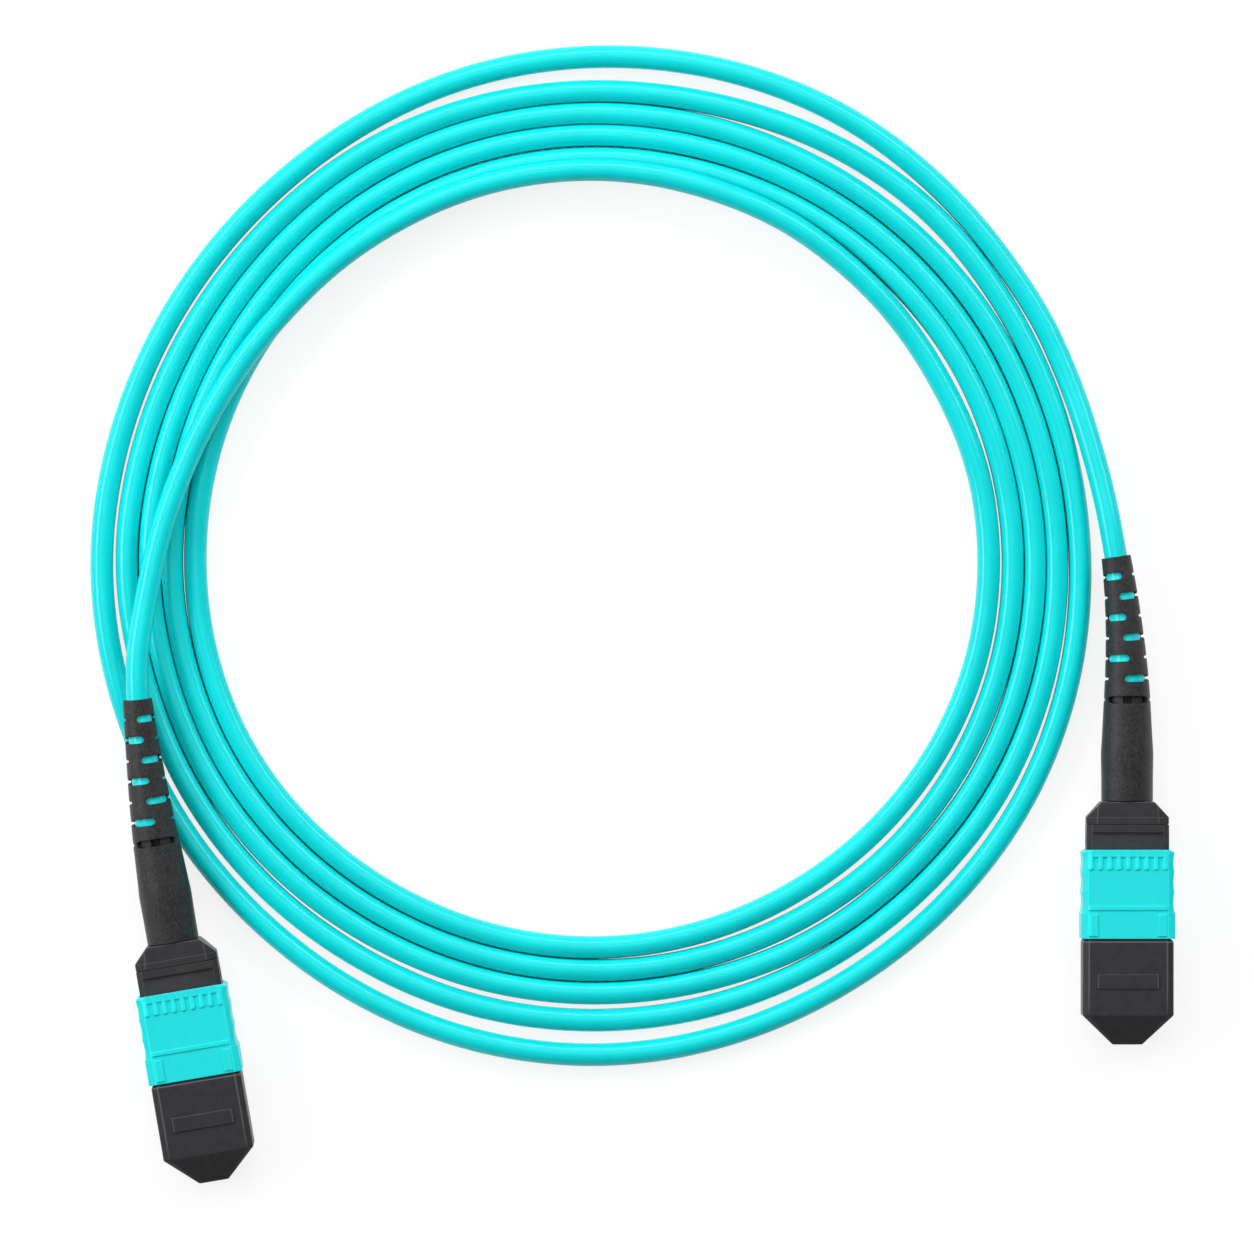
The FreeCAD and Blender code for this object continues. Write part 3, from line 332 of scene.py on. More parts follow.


# rings of a bevelled rectangle carried along a profile of along, half width, half height, bevel
# across, bevel down and outer; relief(along, x) raises the flat faces where outer is 1, and
# wear gives the share of painted highlight on the crowns by station
def shell(
    name, side, profile, soft, relief=None, flatSteps=(), sideSteps=(), closed=False, wear=((0, 1),)
):
    station, wide, high, bevel, drop, outer, planCrown, sideCrown = profile.T
    rings, crown = bevelledRings(wide, high, bevel, drop, soft, flatSteps, sideSteps)
    flat = np.abs(rings[..., 1]) > (high[:, None] - 1e-6)
    upright = np.abs(rings[..., 0]) > (wide[:, None] - 1e-6)
    rowCrown = np.minimum(planCrown, sideCrown)[:, None]
    rowCrown = np.where(flat, sideCrown[:, None], np.where(upright, planCrown[:, None], rowCrown))
    # the edge mask marks where painted highlights go: the crowns of outer corners
    edge = np.maximum(rowCrown, crown[None, :] * (outer[:, None] > 0.5))
    if relief is not None:
        rise = relief(station[:, None], rings[..., 0]) * flat * (outer[:, None] > 0.5)
        rings[..., 1] += np.sign(rings[..., 1]) * rise
        # the rims of raised details get the painted highlight as well
        lowest = np.minimum.reduce([np.roll(rise, s, axis) for s in (1, -1) for axis in (0, 1)])
        edge = np.maximum(edge, np.clip((rise - lowest - 0.05) / 0.08, 0, 1))
    along = np.broadcast_to(station[:, None, None], rings.shape[:2] + (1,))
    points = np.concatenate([rings, along], axis=-1)
    rows, columns = points.shape[:2]
    faces = gridFaces(rows, columns, closeAlong=closed).tolist()
    if not closed:
        last = (rows - 1) * columns
        faces += [list(range(columns)), list(range(last, last + columns))[::-1]]
    piece = facingOut(meshPiece(name, toFrame(side, points.reshape(-1, 3)), faces))
    markPaintedHighlights(piece, (edge * np.interp(station, *np.array(wear).T)[:, None]).ravel())
    return evenShading(piece)


# half sizes and bevels of a ring that closes a surface
pointRing = (0.01, 0.01, 0.003, 0.003)

capSizes = {
    "half": (6.14, 3.9),              # half width and half height
    "tip": (2.0, 0.9, 0.14, 0.14),    # the same at the tip, with its bevels
    "taper": 4.02,                    # length of the pointed front
    "length": 14.3,
    "bevel": 0.85,                    # across
    "drop": 0.42,                     # and down
    "bar": (7.65, 9.55, 4.12, 0.25),  # grip bar: front, rear, half width, height
    "soft": 0.17,                     # rounding of the edges
    "edge": 0.09,                     # width of the bar's slopes
    "rear": 0.35,                     # rounding of the open end
    "rearBevel": 0.8,                 # share of the bevels that is left there
    # hollows from the open end inwards: front, half width, half height
    "hollows": [(4.8, 4.88, 3.13), (3.3, 4.3, 2.45), (1.6, 2.6, 1.2)],
    "hollowBevels": (0.05, 0.05),
    "wear": [(4.1, 0.1), (4.5, 1)],   # station, share of painted highlight on the crowns: little on the taper, which faces away from the light
}


# profile: pyramid tip, straight sides with a grip bar, then back inside down three hollows
def dustCap(side):
    c = capSizes
    w, h = c["half"]
    b, d = c["bevel"], c["drop"]
    barFront, barRear, barHalf, barHigh = c["bar"]
    edge = c["edge"]
    keys = [(0, *pointRing, 1), (0, *c["tip"], 1), (c["taper"], w, h, b, d, 1)]
    keys += [(u, w, h, b, d, 1) for u in edgesOf([(barFront, barRear)], edge)]
    rear, left = c["rear"], c["rearBevel"]
    behind = c["length"]
    keys += [
        (behind - rear, w, h, b, d, 1), (behind, w - rear, h - rear, b * left, d * left, 1),
    ]
    for front, *size in c["hollows"]:
        ring = (*size, *c["hollowBevels"], 0)
        keys += [(behind, *ring), (front, *ring)]
        behind = front
    keys.append((behind, *pointRing, 0))

    def relief(u, x):
        return barHigh * step(u, barFront, barRear, edge) * step(x, -barHalf, barHalf, edge)

    lines = edgesOf([(-barHalf, barHalf)], edge) + [-2, 0, 2]
    steps = flatStepsFor(lines, w - b - c["soft"])
    return shell(
        f"{side}DustCap", side, rounded(keys, c["soft"]), c["soft"], relief, steps, (0.33, 0.67),
        wear=c["wear"],
    )


sleeveSizes = {
    "front": 14.35,
    "rear": 26.35,
    "half": (6.24, 4.0),
    "bevel": 0.85,
    "drop": 0.42,
    "wall": 0.55,
    "soft": 0.13,
    "edge": 0.09,                        # width of the slopes at the raised details
    "corner": 0.45,                      # rounding of the rear corners in plan
    "rearBevel": 0.7,                    # share of the bevels that is left there
    "frontBevels": (0.3, 0.3),
    "boreBevels": (0.1, 0.1),
    "collar": (1.2, 4.88, 3.13),         # front collar: length, half width, half height
    "wide": (3.45, 0.13),                # wider front: length, by how much
    "lip": (1.0, 5.2, 0.2),              # rear lip: length, half width, height
    "ribs": {
        "count": 9, "pitch": 1.25, "width": 0.52, "length": 1.75, "height": 0.26, "edge": 0.14,
        # grid lines near a rib: behind its front end, and to each side of its middle
        "rows": (-0.06, 0, 0.05, 0.1, 0.16, 0.24, 0.34, 0.5),
        "columns": (-0.36, -0.27, -0.17, 0, 0.17, 0.27, 0.36),
    },
    "ridge": (18.2, 18.75, 5.25, 0.17),  # front, rear, half width, height
    "pads": (14.7, 17.6, 4.1, 5.2, 0.2),  # front, rear, inside, outside, height
    "scallops": {"first": 24.65, "pitch": 2.68, "reach": 1.34, "depth": 0.13, "count": 3},
}


# profile: outside from front to rear, round the rear edge, back along the bore and its collar
def couplingSleeve(side):
    c = sleeveSizes
    w, h = c["half"]
    b, d = c["bevel"], c["drop"]
    ribs = c["ribs"]
    lipLength, lipHalf, lipHigh = c["lip"]
    ridgeFront, ridgeRear, ridgeHalf, ridgeHigh = c["ridge"]
    padFront, padRear, padIn, padOut, padHigh = c["pads"]
    wideLength, wideOut = c["wide"]
    edge = c["edge"]
    lipFront = c["rear"] - lipLength
    ribEnd = lipFront - ribs["length"]
    stations = edgesOf([(ridgeFront, ridgeRear), (padFront, padRear)], edge)
    stations += list(ribEnd + np.array(ribs["rows"]))
    stations += [lipFront - edge / 2, lipFront + edge / 2]
    stations += [c["front"] + wideLength, c["front"] + wideLength + 0.1]
    stations.append(c["rear"] - c["corner"])
    waves = c["scallops"]
    middles = waves["first"] - waves["pitch"] * np.arange(waves["count"])
    shares = np.array([-1, -0.9, -0.6, -0.3, 0, 0.3, 0.6, 0.9, 1])
    stations += list((middles[:, None] + waves["reach"] * shares).ravel())
    stations = np.array(sorted(set(np.round(stations, 3))))
    away = np.abs(stations[:, None] - middles).min(axis=1) / waves["reach"]
    hollow = waves["depth"] * np.clip(1 - away**2, 0, 1) * (stations > c["front"] + wideLength)
    wider = wideOut * (stations < c["front"] + wideLength + 0.05)
    innerWide, innerHigh = w - c["wall"], h - c["wall"]
    collarLength, collarWide, collarHigh = c["collar"]
    middle = ((collarWide + w) / 2, (collarHigh + h) / 2)
    frontBevels, boreBevels, left = c["frontBevels"], c["boreBevels"], c["rearBevel"]
    keys = [(c["front"], *middle, *frontBevels, 0), (c["front"], w + wideOut, h, b + wideOut, d, 1)]
    keys += [(u, w + x, h, b + x, d, 1) for u, x in zip(stations, wider - hollow)]
    keys += [
        (c["rear"], w - c["corner"] * 1.3, h, b * left, d * left, 1),
        (c["rear"], innerWide, innerHigh, *boreBevels, 0),
        (c["front"] + collarLength, innerWide, innerHigh, *boreBevels, 0),
        (c["front"] + collarLength, collarWide, collarHigh, *boreBevels, 0),
        (c["front"], collarWide, collarHigh, *boreBevels, 0),
        (c["front"], middle[0] - 0.05, middle[1] - 0.05, *frontBevels, 0),
    ]

    def relief(u, x):
        rise = lipHigh * step(u, lipFront, c["rear"] + 1, edge) * step(x, -lipHalf, lipHalf, edge)
        place = x / ribs["pitch"]
        inRib = (place - np.round(place)) * ribs["pitch"]
        inside = np.abs(x) < ribs["pitch"] * ribs["count"] / 2
        away = np.hypot(inRib, np.maximum(ribEnd + ribs["width"] / 2 - u, 0))
        rib = np.clip((ribs["width"] / 2 - away) / ribs["edge"] + 0.5, 0, 1)
        rib *= (u < lipFront + 0.2) * inside
        ridge = step(u, ridgeFront, ridgeRear, edge) * step(x, -ridgeHalf, ridgeHalf, edge)
        pads = step(u, padFront, padRear, edge) * step(np.abs(x), padIn, padOut, edge)
        return np.maximum.reduce([rise, ribs["height"] * rib, ridgeHigh * ridge, padHigh * pads])

    lines = edgesOf([(-lipHalf, lipHalf), (padIn, padOut), (-padOut, -padIn)], edge)
    ribMiddles = (np.arange(ribs["count"]) - (ribs["count"] - 1) / 2) * ribs["pitch"]
    lines += list((ribMiddles[:, None] + np.array(ribs["columns"])).ravel())
    halfFlat = w - b - c["soft"]
    lines = [x for x in sorted(set(np.round(lines, 3))) if abs(x) < halfFlat - 0.02]
    return shell(
        f"{side}CouplingSleeve", side, rounded(keys, c["soft"]), c["soft"], relief,
        flatStepsFor(lines, halfFlat), (0.2, 0.5, 0.8), closed=True,
    )


bootSizes = {
    "coreRadius": 3.3,        # bore of the front part, over the crimp
    "coreEnd": 42.1,
    "shoulder": (0.05, 3.4),  # half length of the step at the core's end, radius over it
    "boreRadius": 1.65,       # bore for the cord
    "waist": cordSizes["waist"],
    "flex": cordSizes["flex"],
    # station and outer radius before the waist, then distance past it and outer radius
    "tube": [(32.87, 3.5), (33.0, 3.51), (33.5, 3.51), (35.8, 3.51), (37.6, 3.535), (39.0, 3.57),
             (39.6, 3.555), (41.2, 3.45), (43.9, 3.3), (45.2, 3.235), (45.9, 3.2)],
    "rings": [(0, 3.2), (1.0, 3.14), (4.6, 2.9), (7.35, 2.72), (9.75, 2.55), (12.75, 2.37),
              (15.45, 2.22), (18.65, 2.06), (19.9, 2.0)],
    "wall": 0.12,             # depth of the rounded rim at every hole
    "support": 0.13,          # rows that keep a ring's edge firm
    "columns": 36,
    "ringSlot": {"width": 1.0, "reach": 56, "notch": 0.2, "closing": 0.62},
    "slots": {"first": 3.4, "pitch": 2.78, "count": 6, "width": 0.95, "span": 130, "angle": 39},
    # how far a slot closes in, by degrees from its middle
    "slotClosing": [(-84, 0), (-66, 0.3), (-64, 0.85), (-39, 0.5), (-18, 0), (53, 0), (64, 0.6),
                    (74, 0.35), (85, 0)],
    "liner": [(0.9, 1.6), (1.6, 2.0), (3, 2.45), (6.2, 2.25), (9, 2.05), (11.7, 1.9), (14.5, 1.78),
              (17.3, 1.68), (18.6, 1.62), (19.3, 1.5)],
    # the liner ring here is dark rubber that stands in for the shade round the cord in the ring
    # slot
    "webs": {
        "angles": (55, 125, 235, 305), "span": 43, "outer": 2.5, "shadeRingSpan": 180.5, "liner": 1.95,
        "gap": 0.02, "overlap": 0.1,
    },
}


# tube about the boot's bent line: p = line(d) + r (cos a, sin a) square to the line
def bootPoints(side, distance, angle, radius):
    across, along, turn = bootLine(side, distance)
    x = radius * np.cos(angle)
    local = [across + x * np.cos(turn), radius * np.sin(angle), along - x * np.sin(turn)]
    return toFrame(side, np.stack(np.broadcast_arrays(*local), axis=-1))


# closed wall between two grids that has a hole wherever keep is False
def perforated(name, outer, inner, keep, depth):
    rows, columns = outer.shape[:2]
    inward = inner - outer
    middle = outer + inward * (depth / np.linalg.norm(inward, axis=-1, keepdims=True))
    vertices = np.concatenate([layer.reshape(-1, 3) for layer in (outer, middle, inner)])
    count = rows * columns
    cells = gridFaces(rows, columns)[keep.ravel()]
    faces = [cells, cells[:, ::-1] + 2 * count]
    padded = np.vstack([np.zeros((1, columns), bool), keep, np.zeros((1, columns), bool)])
    i, j = np.meshgrid(np.arange(rows), np.arange(columns), indexing="ij")
    ahead = i * columns + (j + 1) % columns
    here = i * columns + j
    rowEdge = padded[1:] != padded[:-1]
    columnEdge = keep != np.roll(keep, 1, axis=1)
    low = here[:-1]
    for a, b in ((here[rowEdge], ahead[rowEdge]), (low[columnEdge], (low + columns)[columnEdge])):
        for top in (0, count):
            faces.append(np.stack([a + top, b + top, b + top + count, a + top + count], axis=-1))
    faces = np.vstack(faces)
    used = np.unique(faces)
    lookup = np.zeros(len(vertices), int)
    lookup[used] = np.arange(len(used))
    return facingOut(meshPiece(name, vertices[used], lookup[faces]))


def awayFrom(degrees, centre):
    return np.abs((degrees - centre + 180) % 360 - 180)


# rows of radii along the tube and its rings; slots leave out cells and draw in at their ends
def strainBoot(side):
    c = bootSizes
    ringSlot = c["ringSlot"]
    slot = c["slots"]
    core, bore = c["coreRadius"], c["boreRadius"]
    tube = [(station, radius, core if station < c["coreEnd"] else bore)
            for station, radius in c["tube"]]
    reach, over = c["shoulder"]
    tube[-3:-3] = [(c["coreEnd"] - reach, over, core), (c["coreEnd"] + reach, over, bore)]
    half = slot["width"] / 2
    slots = [slot["first"] + slot["pitch"] * i for i in range(slot["count"])]
    starts = [ringSlot["width"]] + [s + half for s in slots]
    ends = [s - half for s in slots] + [c["flex"]]
    rows = [0, ringSlot["width"] / 2]
    for start, end in zip(starts, ends):
        rows += [start, start + c["support"], (start + end) / 2, end - c["support"], end]
    rows = np.array(rows)
    ringAt, ringRadius = np.array(c["rings"]).T
    outward = np.interp(rows, ringAt, ringRadius)
    outward[1] -= ringSlot["notch"]
    columns = c["columns"]
    degrees = np.arange(columns) * 360 / columns
    cell = degrees + 180 / columns
    station, tubeOuter, tubeInner = np.array(tube).T
    distance = np.concatenate([station - c["waist"], rows])
    outerRadius = np.concatenate([tubeOuter, outward])
    innerRadius = np.concatenate([tubeInner, np.full(len(rows), bore)])
    along = np.repeat(distance[:, None], columns, axis=1)
    keep = np.ones((len(distance) - 1, columns), bool)
    waist = len(tube)
    nearest = np.minimum(awayFrom(degrees, 90), awayFrom(degrees, 270)) - ringSlot["reach"]
    narrow = np.interp(nearest, [-14, -2, 8], [0, 0.45, 1])
    narrow *= ringSlot["closing"] * ringSlot["width"] / 2
    along[waist] += narrow
    along[waist + 2] -= narrow
    opening = np.minimum(awayFrom(cell, 90), awayFrom(cell, 270)) < ringSlot["reach"]
    keep[waist : waist + 2] &= ~opening
    for i in range(slot["count"]):
        low = waist + 5 * i + 6  # the row that ends the ring before this slot
        left = (i % 2 == 1) != (side == "far")
        middle = slot["angle"] if left else 180 - slot["angle"]
        for centre in (middle, middle + 180):
            turn = ((degrees - centre + 180) % 360 - 180) * (1 if left else -1)
            narrow = half * np.interp(turn, *np.array(c["slotClosing"]).T)
            along[low] += narrow
            along[low + 1] -= narrow
            keep[low] &= awayFrom(cell, centre) > slot["span"] / 2
    angle = np.radians(degrees)[None, :]
    outer = bootPoints(side, along, angle, outerRadius[:, None])
    inner = bootPoints(side, along, angle, innerRadius[:, None])
    boot = perforated(f"{side}StrainBoot", outer, inner, keep, c["wall"] * mm)
    rounding = boot.modifiers.new("rounding", "SUBSURF")
    rounding.levels = rounding.render_levels = 2
    return boot


# tube that fills the boot's bore behind its slots: r by interpolation along the bent line
def bootLiner(side):
    rows, columns = 40, bootSizes["columns"]
    distance, radius = np.array(bootSizes["liner"]).T
    along = np.linspace(distance[0], distance[-1], rows)[:, None]
    angle = np.linspace(0, 2 * math.pi, columns, endpoint=False)[None, :]
    points = bootPoints(side, along, angle, np.interp(along, distance, radius))
    last = (rows - 1) * columns
    faces = gridFaces(rows, columns).tolist()
    faces += [list(range(columns)), list(range(last, last + columns))[::-1]]
    piece = facingOut(meshPiece(f"{side}BootLiner", points.reshape(-1, 3), faces))
    piece.data.set_sharp_from_angle(angle=math.radians(50))
    return piece


# four webs across the ring slot and a dark liner round the cord, painted shade that hides the cord
# in the holes: slices of tubes with square ends
def bootWebs(side):
    c = bootSizes
    webs = c["webs"]
    slot = c["ringSlot"]["width"]
    inside = c["boreRadius"] + webs["gap"]
    overlap = webs["overlap"]
    columns = 13
    vertices = []
    faces = []
    slices = [(middle, webs["span"], webs["outer"]) for middle in webs["angles"]]
    slices += [(middle, webs["shadeRingSpan"], webs["liner"]) for middle in (0, 180)]
    for middle, span, outside in slices:
        radius = np.array([inside, outside, outside, inside])
        distance = np.array([-overlap, -overlap, slot + overlap, slot + overlap])
        angle = np.radians(middle + span * np.linspace(-0.5, 0.5, columns))[:, None]
        points = bootPoints(side, np.repeat(distance[None], columns, 0), angle, radius[None])
        first = 4 * columns * len(vertices)
        last = first + 4 * columns - 4
        vertices.append(points.reshape(-1, 3))
        faces += gridFaces(columns, 4, first=first).tolist()
        faces += [[first, first + 1, first + 2, first + 3], [last + 3, last + 2, last + 1, last]]
    piece = facingOut(meshPiece(f"{side}BootWebs", np.concatenate(vertices), faces))
    bevel = piece.modifiers.new("bevel", "BEVEL")
    bevel.width = 0.08 * mm
    bevel.segments = 2
    bevel.limit_method = "ANGLE"
    return evenShading(piece)


# a number that lists faces or edges by their corners, so that every run lists them alike
def cornerOrder(part):
    total = 0
    for index in sorted(vertex.index for vertex in part.verts):
        total = total * 100000 + index
    return total


# width of the rounding, how stations move and by how much the piece widens there
softenedSizes = {
    "inner_housing": {
        "width": 0.1, "stations": [(0, 0), (40, 40)], "widen": [(24.7, 1), (24.8, 1.024)],
    },
    "spring_push": {
        "width": 0.12,
        "stations": [(0, 0), (29.9, 29.85), (31, 30.72), (32.85, 32.8), (40, 39.95)],
        "widen": [(29.8, 1), (29.9, 1.024), (31, 1.024), (32.4, 1.01), (32.85, 1)],
    },
    "mt_ferrule": {"width": 0.04, "stations": [(0, 0), (40, 40)], "widen": [(0, 1)]},
}


# copy of the near plug's node with its flats joined again and every hard edge rounded off;
# its points go by along' = stations(along), left' = left x widen(along), then to either plug
def softened(side, node):
    c = softenedSizes[node]
    name = side + "".join(part.capitalize() for part in node.split("_"))
    piece = bpy.data.objects.new(name, nodes[f"near_{node}"].data.copy())
    scene.collection.objects.link(piece)
    piece.data.materials.clear()
    work = bmesh.new()
    work.from_mesh(piece.data)
    bmesh.ops.remove_doubles(work, verts=work.verts, dist=1e-6)
    bmesh.ops.dissolve_limit(work, angle_limit=math.radians(2), verts=work.verts, edges=work.edges)
    work.to_mesh(piece.data)
    work.free()
    points = np.empty(len(piece.data.vertices) * 3)
    piece.data.vertices.foreach_get("co", points)
    local = fromFrame("near", points.reshape(-1, 3))
    along = local[:, 2].copy()
    local[:, 0] *= np.interp(along, *np.array(c["widen"], float).T)
    local[:, 2] = np.interp(along, *np.array(c["stations"], float).T)
    piece.data.vertices.foreach_set("co", toFrame("near", local).ravel())
    work = bmesh.new()
    work.from_mesh(piece.data)
    work.normal_update()
    hard = [edge for edge in work.edges if edge.calc_face_angle(0) > math.radians(30)]
    bent = {edge for edge in hard if edge.calc_face_angle_signed(0) > 0}
    # the crowns of convex edges are marked for a painted highlight
    outer = work.verts.layers.float.new("edge")
    for vertex in work.verts:
        vertex[outer] = float(any(edge in bent for edge in vertex.link_edges))
    rounding = bmesh.ops.bevel(work, geom=hard, offset=c["width"] * mm, segments=2, profile=0.5,
                               affect="EDGES", clamp_overlap=True)
    crown = set(rounding["faces"])
    for vertex in work.verts:
        vertex[outer] *= float(all(face in crown for face in vertex.link_faces))
    bmesh.ops.triangulate(work, faces=work.faces)
    for face in work.faces:
        face.smooth = True
    work.verts.index_update()
    work.edges.sort(key=cornerOrder)
    work.faces.sort(key=cornerOrder)
    work.to_mesh(piece.data)
    work.free()
    points = np.empty(len(piece.data.vertices) * 3)
    piece.data.vertices.foreach_get("co", points)
    local = fromFrame("near", points.reshape(-1, 3))
    piece.data.vertices.foreach_set("co", toFrame(side, local).ravel())
    piece.data.update()
    return evenShading(piece)


bandSizes = {
    "front": 29.3, "step": 29.8, "rear": 30.72, "neck": (5.45, 3.2), "half": (5.57, 3.36),
    "bevel": 1.4, "depth": 0.4, "reach": 0.09, "soft": 0.1,
}


# closed ring about the collar: a neck that fills the joint, then the band, then back inside
def collarBand(side):
    c = bandSizes
    b = c["bevel"]
    neck, half = c["neck"], c["half"]
    inner = (neck[0] - c["depth"], neck[1] - c["depth"])
    keys = [
        (c["front"], *inner, b, b, 0), (c["front"], *neck, b, b, 0), (c["step"], *neck, b, b, 0),
        (c["step"], *half, b, b, 1), (c["rear"], *half, b, b, 1), (c["rear"], *inner, b, b, 0),
    ]
    profile = rounded(keys, c["reach"])
    return shell(f"{side}CollarBand", side, profile, c["soft"], closed=True)


def newMaterial(name):
    material = bpy.data.materials.new(name)
    material.use_nodes = True
    tree = material.node_tree
    return material, tree, tree.nodes["Principled BSDF"]


def noise(tree, scale, detail=3.0, roughness=0.55, stretch=(1, 1, 1)):
    coordinates = tree.nodes.new("ShaderNodeTexCoord").outputs["Object"]
    if stretch != (1, 1, 1):
        mapping = tree.nodes.new("ShaderNodeMapping")
        mapping.inputs["Scale"].default_value = stretch
        tree.links.new(coordinates, mapping.inputs["Vector"])
        coordinates = mapping.outputs["Vector"]
    texture = tree.nodes.new("ShaderNodeTexNoise")
    texture.inputs["Scale"].default_value = scale
    texture.inputs["Detail"].default_value = detail
    texture.inputs["Roughness"].default_value = roughness
    tree.links.new(coordinates, texture.inputs["Vector"])
    return texture.outputs[0]


def ramp(tree, value, stops):
    node = tree.nodes.new("ShaderNodeValToRGB")
    elements = node.color_ramp.elements
    for place, colour in stops[2:]:
        elements.new(place)
    for element, (place, colour) in zip(elements, sorted(stops)):
        element.position = place
        element.color = (*colour, 1)
    tree.links.new(value, node.inputs["Fac"])
    return node.outputs["Color"]


def spread(tree, value, low, high):
    node = tree.nodes.new("ShaderNodeMapRange")
    node.inputs["From Min"].default_value = 0.3
    node.inputs["From Max"].default_value = 0.7
    node.inputs["To Min"].default_value = low
    node.inputs["To Max"].default_value = high
    tree.links.new(value, node.inputs["Value"])
    return node.outputs["Result"]


def bump(tree, shader, height, distance, strength=1.0):
    node = tree.nodes.new("ShaderNodeBump")
    node.inputs["Distance"].default_value = distance
    node.inputs["Strength"].default_value = strength
    tree.links.new(height, node.inputs["Height"])
    tree.links.new(node.outputs["Normal"], shader.inputs["Normal"])
    return node


def tone(colour, factor):
    return tuple(c * factor for c in colour)


# painted highlights on the corners: where the piece's edge attribute is 1 the colour goes over to a
# paler one
def paintedEdgeHighlights(tree, colours, pale):
    share = tree.nodes.new("ShaderNodeAttribute")
    share.attribute_name = "edge"
    mixed = tree.nodes.new("ShaderNodeMix")
    mixed.data_type = "RGBA"
    tree.links.new(share.outputs["Fac"], mixed.inputs["Factor"])
    tree.links.new(colours, mixed.inputs["A"])
    mixed.inputs["B"].default_value = (*pale, 1)
    return mixed.outputs["Result"]


# fine spark-eroded grain: colour and gloss drift a little, tiny pits in the surface
def mouldedPlastic(
    name, colour, roughness, grain, mottle=0.06, depth=0.00001, specular=0.08, edge=1.0
):
    material, tree, shader = newMaterial(name)
    drift = noise(tree, 900, 4)
    fine = noise(tree, grain, 2, 0.7)
    colours = ramp(tree, drift, [(0.3, tone(colour, 1 - mottle)), (0.7, tone(colour, 1 + mottle))])
    # an edge factor over 1 paints a paler highlight on the marked corner crowns
    if edge != 1:
        colours = paintedEdgeHighlights(tree, colours, tuple(min(c, 0.97) for c in tone(colour, edge)))
    gloss = spread(tree, fine, roughness - 0.05, roughness + 0.05)
    tree.links.new(colours, shader.inputs["Base Color"])
    tree.links.new(gloss, shader.inputs["Roughness"])
    shader.inputs["Specular IOR Level"].default_value = specular
    bump(tree, shader, fine, depth)
    return material


# short strokes that lean one way and then the other, in turn across the piece
def zigzag(tree, scale, pitch):
    coordinates = tree.nodes.new("ShaderNodeTexCoord").outputs["Object"]
    strokes = []
    for lean in (-45, 45):
        mapping = tree.nodes.new("ShaderNodeMapping")
        mapping.inputs["Rotation"].default_value = (0, 0, math.radians(lean))
        mapping.inputs["Scale"].default_value = (1, 0.3, 0.6)
        texture = tree.nodes.new("ShaderNodeTexNoise")
        texture.inputs["Scale"].default_value = scale
        texture.inputs["Detail"].default_value = 2
        tree.links.new(coordinates, mapping.inputs["Vector"])
        tree.links.new(mapping.outputs["Vector"], texture.inputs["Vector"])
        strokes.append(texture.outputs[0])
    stripes = tree.nodes.new("ShaderNodeTexWave")
    stripes.inputs["Scale"].default_value = 0.314 / pitch  # one wave in 2 pi / 20 scale
    tree.links.new(coordinates, stripes.inputs["Vector"])
    mixed = tree.nodes.new("ShaderNodeMix")
    tree.links.new(stripes.outputs["Fac"], mixed.inputs["Factor"])
    tree.links.new(strokes[0], mixed.inputs["A"])
    tree.links.new(strokes[1], mixed.inputs["B"])
    return mixed.outputs["Result"]


# elastomer with a coarse matt grain of leaning strokes
def bootRubber(name, colour):
    material, tree, shader = newMaterial(name)
    coarse = zigzag(tree, 8500, 0.0012)
    drift = noise(tree, 700, 3)
    mixed = tree.nodes.new("ShaderNodeMath")
    mixed.operation = "MULTIPLY_ADD"
    mixed.inputs[1].default_value = 0.6
    tree.links.new(coarse, mixed.inputs[0])
    tree.links.new(spread(tree, drift, 0.17, 0.23), mixed.inputs[2])
    colours = ramp(tree, mixed.outputs[0], [(0.42, tone(colour, 0.35)), (0.6, tone(colour, 1.6))])
    tree.links.new(colours, shader.inputs["Base Color"])
    tree.links.new(spread(tree, coarse, 0.38, 0.5), shader.inputs["Roughness"])
    shader.inputs["Specular IOR Level"].default_value = 0.3
    bump(tree, shader, coarse, 0.00005)
    return material


# smooth satin cord jacket with faint waviness, and painted shade that darkens the crease between
# two strands
def jacket(name, colour, paintedCreaseShade=True):
    material, tree, shader = newMaterial(name)
    drift = noise(tree, 120, 3)
    fine = noise(tree, 2600, 2)
    colours = ramp(tree, drift, [(0.3, tone(colour, 0.96)), (0.7, tone(colour, 1.04))])
    if paintedCreaseShade:
        # painted shade: ambient occlusion darkens the base colour in the creases
        near = tree.nodes.new("ShaderNodeAmbientOcclusion")
        near.inputs["Distance"].default_value = 0.0013
        near.samples = 8
        shade = tree.nodes.new("ShaderNodeMix")
        shade.data_type = "RGBA"
        shade.blend_type = "MULTIPLY"
        shade.inputs["Factor"].default_value = 1
        tree.links.new(colours, shade.inputs["A"])
        creaseShadeFactor = ramp(tree, near.outputs["AO"], [(0.08, (0.12,) * 3), (0.5, (1, 1, 1))])
        tree.links.new(creaseShadeFactor, shade.inputs["B"])
        colours = shade.outputs["Result"]
    tree.links.new(colours, shader.inputs["Base Color"])
    tree.links.new(spread(tree, fine, 0.2, 0.26), shader.inputs["Roughness"])
    shader.inputs["Specular IOR Level"].default_value = 0.28
    bump(tree, shader, drift, 0.00004)
    return material


